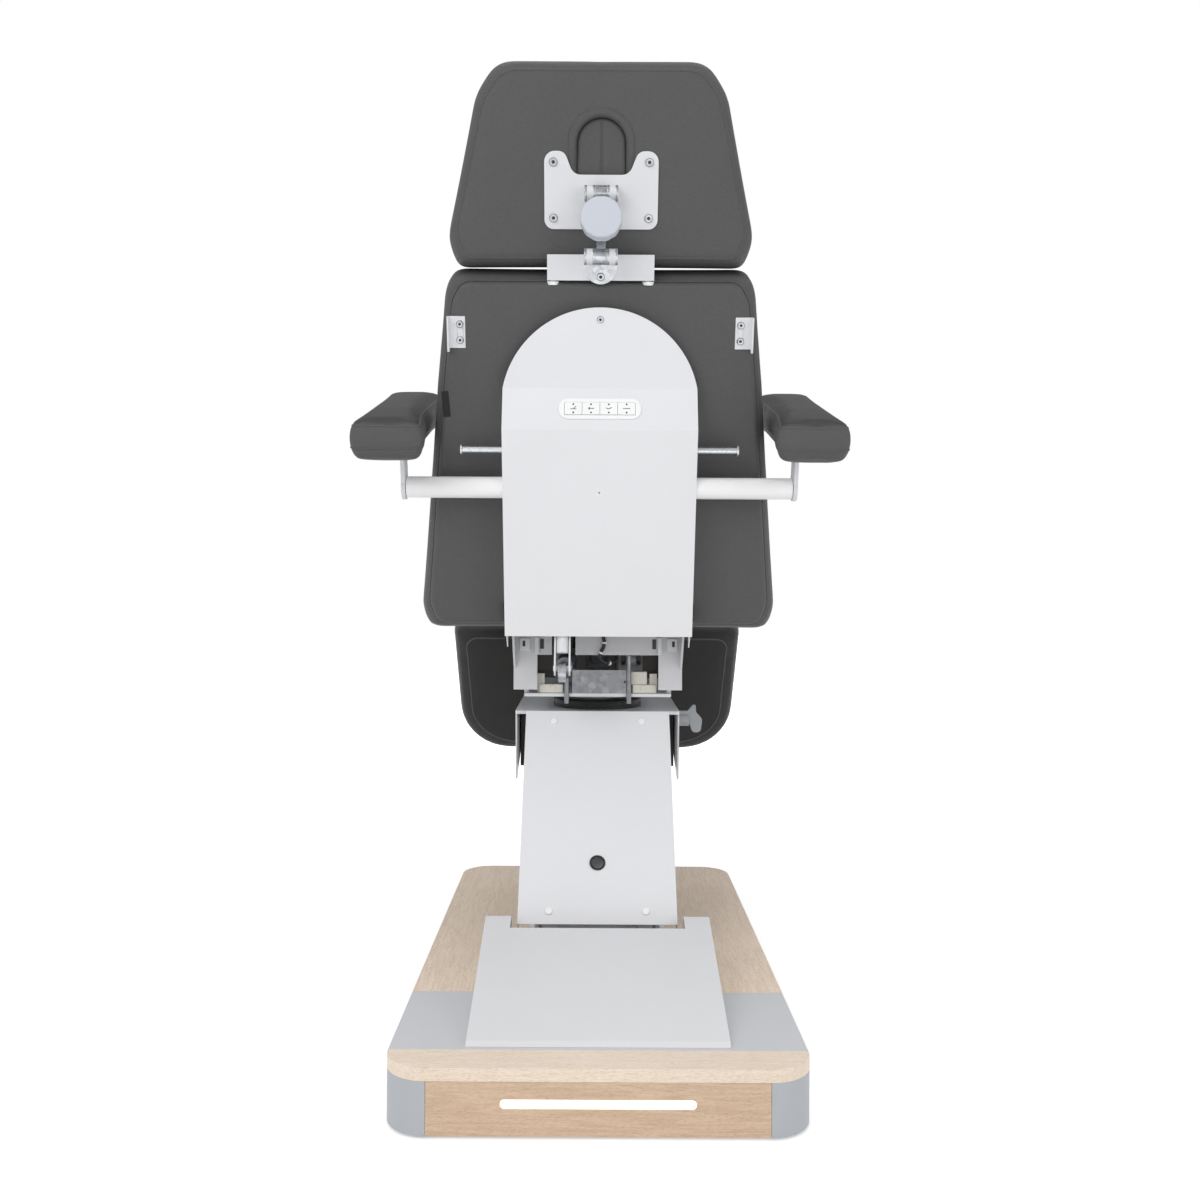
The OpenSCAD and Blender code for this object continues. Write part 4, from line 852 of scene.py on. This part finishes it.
# Painted shade on the upper sides of the back, headrest and arm pads, the seat's underside and the leg rest's
# rear side
back_pad = upholster("back_cushion", "back_pad", "back", 0.008, 0.005, in_back)
upholster("seat_cushion", "seat_pad", "seat", 0.008, 0.005, UNMOVED, (0, 0, -1))
head_pad = upholster("headrest_cushion", "head_pad", "headrest", 0.006, 0.0025, in_back)
leg_rear = in_leg.to_3x3() @ Vector((0, 0, -1))
leg_pad = upholster("leg_cushion", "leg_pad", "leg_rest", 0.008, 0.005, in_leg, leg_rear)
left_pad = upholster("pad_left", "left_arm_pad", "arm_left", 0.005, 0.003, in_back)
right_pad = upholster("pad_right", "right_arm_pad", "arm_right", 0.005, 0.003, in_back)


def shape_outline(kind, half):
    return rounded([(x * half[0], y * half[1], r / 1000) for x, y, r in SHAPES[kind]])


def seam(kind, half, inset):
    return inset_outline(shape_outline(kind, half), half, inset)


def back_seams():
    ring = seam("back", BACK_HALF, 0.016)
    points = [in_back @ Vector((p.x, CUSHION_Y + 0.09, p.y + BACK_MIDDLE)) for p in ring]
    welt("back_front_welt", back_pad, points, "back")


def rear_panel():
    """Padded leatherette panel that covers the back's board"""
    half = (BACK_HALF[0] - PANEL_INSET, BACK_HALF[1] - PANEL_INSET)
    outline = shape_outline("back", half)
    bm = slab(outline, BACK_MIDDLE, CUSHION_Y + PANEL_LAP, PANEL_T)
    low = min(v.co.y for v in bm.verts)
    rim = [e for e in bm.edges if all(abs(v.co.y - low) < NEAR for v in e.verts)]
    round_edges(bm, rim, PANEL_RIM, 5)
    panel = add_piece("rear_panel", bm, skai, "back", in_back)
    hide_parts("back_board")
    ring = inset_outline(outline, half, -0.0015)
    route = [in_back @ Vector((p.x, CUSHION_Y - 0.0015, p.y + BACK_MIDDLE)) for p in ring]
    tube("rear_panel_welt", densify(route, 0.01), PANEL_WELT, "back", True)


def head_seams():
    ring = seam("head", HEAD_HALF, 0.014)
    for name, side in (("head_rear_welt", 0.0), ("head_front_welt", 0.08)):
        points = [in_back @ Vector((p.x, CUSHION_Y + side, p.y + HEAD_MIDDLE)) for p in ring]
        welt(name, head_pad, points, "headrest")


def leg_seams():
    for name, side, inset in (("leg_rear_welt", 0.0, 0.030), ("leg_front_welt", 0.088, 0.018)):
        ring = seam("leg", LEG_HALF, inset)
        points = [in_leg @ Vector((p.x, p.y + LEG_MIDDLE, LEG_FACE + side)) for p in ring]
        welt(name, leg_pad, points, "leg_rest")


def arm_seams():
    outline = rounded([(x * PAD_HALF[0], y * PAD_HALF[1], PAD_CORNER) for x, y in PAD_SHAPE])
    for side, piece, body in ((1, right_pad, "arm_right"), (-1, left_pad, "arm_left")):
        for label, height in (("low", 0.026), ("high", 0.064)):
            points = [in_back @ Vector((side * (PAD_X + p.x), PAD_MIDDLE + p.y, PAD_Z + height))
                      for p in outline]
            welt(f"{body}_{label}_welt", piece, points, body, PAD_WELT)


back_seams()
rear_panel()
head_seams()
leg_seams()
arm_seams()


# Face hole: raised rim, and the plug with its centre seam

HOLE_HALF = 0.042
HOLE_LOW = 0.712
HOLE_HIGH = 0.842
HOLE_STEPS = 14
PLUG_OVER = 0.0005
PLUG_FRONT = 0.074
PLUG_T = 0.068
PLUG_RIM = 0.008
PLUG_SEAM = 0.0013
RIM_OUT = 0.007
RIM_RADIUS = 0.0085
RIM_STEPS = 40
# Heights of the rim's two legs, and the height over which it rises from behind the plate
RIM_LEGS = (0.752, 0.762, 0.772, 0.782, 0.792)
RISE_FROM = 0.757
RISE_OVER = 0.035
RIM_DEEP = 0.0105
RIM_PROUD = 0.0055


def hole_outline(inset):
    radius = HOLE_HALF - inset
    low, high = HOLE_LOW + HOLE_HALF, HOLE_HIGH - HOLE_HALF
    arc = [math.pi * k / HOLE_STEPS for k in range(HOLE_STEPS + 1)]
    top = [Vector((radius * math.cos(a), high + radius * math.sin(a))) for a in arc]
    bottom = [Vector((-radius * math.cos(a), low - radius * math.sin(a))) for a in arc]
    return top + bottom


def face_plug():
    bm = slab(hole_outline(-PLUG_OVER), 0.0, CUSHION_Y + PLUG_FRONT, PLUG_T)
    rear = min(v.co.y for v in bm.verts)
    round_edges(bm, level_edges(bm.edges, 1), PLUG_RIM, 4)
    plug = add_piece("plug_pad", bm, skai, "headrest", in_back)
    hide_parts("face_plug")
    ends = (HOLE_LOW + PLUG_RIM, HOLE_HIGH - PLUG_RIM)
    tube("plug_seam", [in_back @ Vector((0, rear - 0.0002, z)) for z in ends], PLUG_SEAM, "headrest")


def hole_rim():
    """Padded rim that rises from behind the plate and stands proud over the arch alone"""
    radius = HOLE_HALF + RIM_OUT
    centre = HOLE_HIGH - HOLE_HALF
    arc = [math.pi * k / RIM_STEPS for k in range(RIM_STEPS + 1)]
    rim = [(radius, z) for z in RIM_LEGS]
    rim += [(radius * math.cos(turn), centre + radius * math.sin(turn)) for turn in arc]
    rim += [(-radius, z) for z in reversed(RIM_LEGS)]
    route = []
    for x, z in rim:
        rise = max(0.0, min(1.0, (z - RISE_FROM) / RISE_OVER))
        route.append(in_back @ Vector((x, CUSHION_Y + RIM_DEEP - RIM_PROUD * rise, z)))
    tube("hole_rim", densify(route, WELT_STEP, False), RIM_RADIUS, "headrest", False, 12)


face_plug()
hole_rim()


# Clamp knob of the headrest: a plain disc with twelve shallow scallops round its rim

HINGE_LOW = Vector((0, -0.025, 0.622))
HINGE_HIGH = Vector((0, 0.004, 0.722))
KNOB_FOOT = 0.0203
KNOB_H = 0.026
KNOB_RADIUS = 0.034
KNOB_VALLEY = 0.0332
SCALLOP = 0.0008
SCALLOPS = 12
KNOB_RIM = 0.0035
KNOB_INSET = 0.0015
KNOB_BOSS = 0.016
KNOB_STUD = 0.00495


def clamp_knob():
    along = HINGE_HIGH - HINGE_LOW
    lean = math.atan2(along.z, along.y)
    place = in_back @ Matrix.Translation((HINGE_LOW + HINGE_HIGH) / 2) @ Matrix.Rotation(lean, 4, "X")
    bm = bmesh.new()
    verts = cone(bm, KNOB_RADIUS, KNOB_RADIUS, KNOB_H, 96)
    for vert in verts:
        turn = math.atan2(vert.co.y, vert.co.x)
        reach = KNOB_VALLEY + SCALLOP * abs(math.sin(SCALLOPS / 2 * turn))
        vert.co.x, vert.co.y = reach * math.cos(turn), reach * math.sin(turn)
    move(bm, verts, Matrix.Translation((0, 0, KNOB_FOOT + KNOB_H / 2)))
    round_edges(bm, level_edges(bm.edges, 2), KNOB_RIM, 4)
    top = max(bm.faces, key=lambda f: f.calc_center_median().z + f.calc_area())
    bmesh.ops.inset_region(bm, faces=[top], thickness=KNOB_INSET, depth=0.0)
    add_disc(bm, KNOB_BOSS, KNOB_FOOT - 0.0003, KNOB_FOOT + 0.006, 32)
    add_disc(bm, KNOB_STUD, 0.002, KNOB_FOOT + 0.004, 24)
    knob = add_piece("lobed_knob", bm, grey_plastic, "clamp_knob", place)
    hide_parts("clamp_knob")


clamp_knob()


# Screws with a hexagon socket, and plain caps

CORNERS = ((-1, -1), (1, -1), (-1, 1), (1, 1))
PLATE_FACE = CUSHION_Y - 0.0003 - 0.004
# Screw: narrowing of its head, width and depth of its socket, as shares
HEAD_TAPER = 0.72
SOCKET_RING = 0.24
SOCKET_WIDTH = 0.42
SOCKET_DEPTH = 0.3
SOCKET_AT = 0.9


def screw(name, radius, height, place, body, replaces=None):
    """A plated screw at a place in the back's frame, with its head to the rear"""
    bm = bmesh.new()
    head = cone(bm, radius, radius * HEAD_TAPER, height, 24)
    move(bm, head, Matrix.Translation((0, 0, height / 2)))
    top = max(bm.faces, key=lambda f: f.calc_center_median().z)
    bmesh.ops.inset_region(bm, faces=[top], thickness=radius * SOCKET_RING, depth=0.0)
    socket = cone(bm, radius * SOCKET_WIDTH, radius * SOCKET_WIDTH, height * SOCKET_DEPTH, 6)
    move(bm, socket, Matrix.Translation((0, 0, height * SOCKET_AT)))
    # Painted shade: a black hexagon stands on the head for the socket's hollow
    for face in {f for v in socket for f in v.link_faces}:
        face.material_index = 1
    piece = add_piece(name, bm, zinc, body, rearward(*place, in_back))
    piece.data.materials.append(black_coat_and_shade)
    if replaces:
        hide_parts(replaces)


def cap(name, radius, height, place, body):
    """A plain white screw cap"""
    bm = bmesh.new()
    add_disc(bm, radius, 0.0, height, 32, place, height * 0.6)
    return add_piece(name, bm, tube_coat, body)


def screws():
    for i, (x, z) in enumerate(CORNERS):
        screw(f"head_plate_screw_{i}", 0.0075, 0.0036, (x * 0.079, PLATE_FACE, 0.727 + z * 0.044), "headrest")
    sheet = [(x * 0.081, y, 0.0515) for x in (-1, 1) for y in (0.012, 0.372)]
    for i, spot in enumerate(sheet):
        piece = cap(f"sheet_screw_{i}", 0.0062, 0.0028, in_arm @ Matrix.Translation(spot), "lift_arm")
        if not i:
            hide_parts("arm_cover_screws")
    screw("dome_screw", 0.0062, 0.003, (0, -0.011, 0.520), "back", replaces="cover_screw")
    for i, (x, z) in enumerate(CORNERS):
        screw(f"bracket_screw_{i}", 0.0066, 0.003, (x * 0.238, 0.006, 0.497 + z * 0.01325), "back")
    screw("hinge_screw", 0.0075, 0.0036, (0, -0.0005, 0.589), "head_carriage")


screws()


# Marks on the keys: two dots and a small figure on each, of lines only

KEY_PITCH = 0.0301
KEY_DOT = 0.0016
KEY_DOT_AT = 0.0075
KEY_LINE = 0.0011
KEY_FACE = 0.0036
MARK_T = 0.0003
KEY_FIGURES = [
    [((-0.005, -0.001), (0.005, -0.001)), ((0.001, 0.0), (0.005, 0.004))],
    [((-0.005, 0.0), (0.005, 0.0)), ((-0.003, 0.0025), (-0.003, -0.0025))],
    [((-0.005, 0.001), (0.0, -0.001)), ((0.0, -0.001), (0.005, 0.002))],
    [((-0.006, 0.0), (0.006, 0.0))],
]


def key_marks():
    for k, figure in enumerate(KEY_FIGURES, 1):
        centre = (k - 2.5) * KEY_PITCH
        bm = bmesh.new()
        for side in (-1, 1):
            spot = Matrix.Translation((centre, side * KEY_DOT_AT, KEY_FACE))
            add_disc(bm, KEY_DOT, 0.0, MARK_T + 0.00005, 16, spot)
        for (x0, y0), (x1, y1) in figure:
            length = math.hypot(x1 - x0, y1 - y0)
            turn = Matrix.Rotation(math.atan2(y1 - y0, x1 - x0), 4, "Z")
            spot = Matrix.Translation((centre + (x0 + x1) / 2, (y0 + y1) / 2, KEY_FACE + 0.0001))
            add_block(bm, (length, KEY_LINE, MARK_T), (0, 0, 0), 0.0, spot @ turn)
        add_piece(f"key_marks_{k}", bm, ink, f"rocker_{k}", in_keypad, False)


key_marks()


# Small parts: hinge caps, post bushings, plain side label, cable and its ties, window brackets

CABLE = [(6, -41, 646), (10, -41, 634), (12, -42, 622), (10, -42, 612), (5, -42, 604), (3, -40, 596),
         (6, -34, 589), (13, -28, 585), (22, -23, 583), (30, -17, 585), (36, -10, 591)]
CABLE_RADIUS = 0.0034
# Points of the cable's route that carry a tie
TIED = (2, 4, 8)
TIE_RADIUS = 0.0041
TIE_HALF = 0.0016
CAP_X = 0.1672
POST = (0.080, 0.0155, 0.5755)
BUSHING_BORE = 0.0047
BUSHING_GROWTH = 2.1
BUSHING_H = 0.006
LABEL_SIZE = (0.012, 0.0016, 0.044)
LABEL_AT = (-0.2655, 0.0072, 0.375)
LABEL_LEAN = math.radians(-4)
SLEEVE_X = 0.0095
# Rings of a sleeve: radius, low, high and rounding
SLEEVE = [(0.0133, 0.0, 0.0045, 0.0008), (0.0125, 0.0045, 0.0135, 0.0), (0.0133, 0.0135, 0.0182, 0.0012)]
FLANGE_AT = (0, -0.0003, 0.604)
FRAME_REAR = -0.037
# Window brackets: size, centre and rounding of each block, and where their screws stand
BRACKETS = [
    ((0.014, 0.002, 0.036), (-0.107, -0.0135, 0.5445), 0.0006),
    ((0.044, 0.014, 0.016), (-0.0875, -0.0145, 0.5345), 0.001),
    ((0.014, 0.002, 0.036), (0.1045, -0.0135, 0.5445), 0.0006),
    ((0.044, 0.014, 0.016), (0.0875, -0.0145, 0.5345), 0.001),
    ((0.030, 0.010, 0.024), (0.0775, -0.0135, 0.5545), 0.001),
]
BRACKET_SCREW = (0.0852, -0.0215, 0.5365)
# Frame tabs: x of the inner tab, its slot, and the outer tab with its own, and that slot's shift
TABS = [(-0.1135, -0.1043, -0.136, -0.002), (0.1146, 0.1048, 0.1385, 0.002)]


def hinge_sleeves():
    """Plated sleeves on the double hinge's outer knuckles, and the plated foot flange"""
    for name, axis, body in (("low", HINGE_LOW, "head_carriage"), ("high", HINGE_HIGH, "headrest")):
        bm = bmesh.new()
        for side in (-1, 1):
            for radius, low, high, bevel in SLEEVE:
                add_disc(bm, radius, low, high, 48, sideward(side, SLEEVE_X, axis.y, axis.z), bevel)
        add_piece(f"hinge_sleeves_{name}", bm, zinc, body, in_back)
    bm = bmesh.new()
    add_disc(bm, 0.0268, 0.0, 0.0009, 64, rearward(*FLANGE_AT, in_back), 0.0003)
    add_piece("hinge_flange", bm, zinc, "head_carriage")


def window_brackets():
    """Cream angle blocks with their screws on the turntable's rear edge"""
    bm = bmesh.new()
    for size, centre, bevel in BRACKETS:
        add_block(bm, size, centre, bevel)
    for side in (-1, 1):
        x, y, z = BRACKET_SCREW
        add_disc(bm, 0.0045, 0.0, 0.0022, 20, rearward(side * x, y, z), 0.0006)
    add_piece("window_brackets", bm, cream_plastic, "turntable")


def frame_tabs():
    """Folded tabs on the seat frame's cross plate, and thin black blocks of painted shade in the slots that
    they were cut from
    """
    tabs = bmesh.new()
    slot_shades = bmesh.new()
    for tab, slot, outer, shift in TABS:
        add_block(tabs, (0.0075, 0.011, 0.032), (tab, FRAME_REAR - 0.005, 0.6165), 0.001)
        add_block(tabs, (0.019, 0.004, 0.023), (outer, FRAME_REAR - 0.0015, 0.6185), 0.001)
        add_block(slot_shades, (0.0072, 0.0008, 0.0185), (slot, FRAME_REAR, 0.6195), 0.0002)
        add_block(slot_shades, (0.0052, 0.0008, 0.0105), (outer + shift, FRAME_REAR - 0.0035, 0.6200), 0.0002)
    add_piece("frame_tabs", tabs, white_coat, "seat")
    add_piece("frame_slot_shades", slot_shades, black_coat_and_shade, "seat")


def hinge_caps():
    bm = bmesh.new()
    for side in (-1, 1):
        add_disc(bm, 0.019, 0.0, 0.005, 48, sideward(side, CAP_X, BACK_AXIS.y, BACK_AXIS.z), 0.0015)
    add_piece("hinge_caps", bm, black_plastic, "seat")


def post_bushings():
    bm = bmesh.new()
    for side in (-1, 1):
        centre = Vector((side * POST[0], *POST[1:]))
        ring = bmesh.ops.create_circle(bm, segments=32, radius=BUSHING_BORE)["verts"]
        move(bm, ring, Matrix.Translation(centre))
        edges = [e for e in bm.edges if all(v in ring for v in e.verts)]
        outer = bmesh.ops.extrude_edge_only(bm, edges=edges)
        for vert in (v for v in outer["geom"] if isinstance(v, bmesh.types.BMVert)):
            vert.co = centre + (vert.co - centre) * BUSHING_GROWTH
    lift = bmesh.ops.extrude_face_region(bm, geom=list(bm.faces))
    raised = [v for v in lift["geom"] if isinstance(v, bmesh.types.BMVert)]
    bmesh.ops.translate(bm, verts=raised, vec=(0, 0, BUSHING_H))
    add_piece("post_bushings", bm, white_plastic, "back", in_back)


def side_label():
    bm = bmesh.new()
    add_block(bm, LABEL_SIZE, (0, 0, 0), 0.0004)
    place = in_back @ Matrix.Translation(LABEL_AT) @ Matrix.Rotation(LABEL_LEAN, 4, "Y")
    add_piece("side_label", bm, label_cloth, "back", place, False)


def cable_and_ties():
    points = [Vector(p) / 1000 for p in CABLE]
    bm = sweep("cable_line", "NURBS", points, CABLE_RADIUS, 5)
    cable = add_piece("harness", bm, black_plastic, "seat")
    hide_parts("harness_cable")
    bm = bmesh.new()
    for i in TIED:
        along = (points[i + 1] - points[i - 1]).normalized()
        turn = along.to_track_quat("Z", "X").to_matrix().to_4x4()
        add_disc(bm, TIE_RADIUS, -TIE_HALF, TIE_HALF, 24, Matrix.Translation(points[i]) @ turn)
    add_piece("cable_ties", bm, white_plastic, "seat")


hinge_sleeves()
window_brackets()
frame_tabs()
hinge_caps()
post_bushings()
side_label()
cable_and_ties()
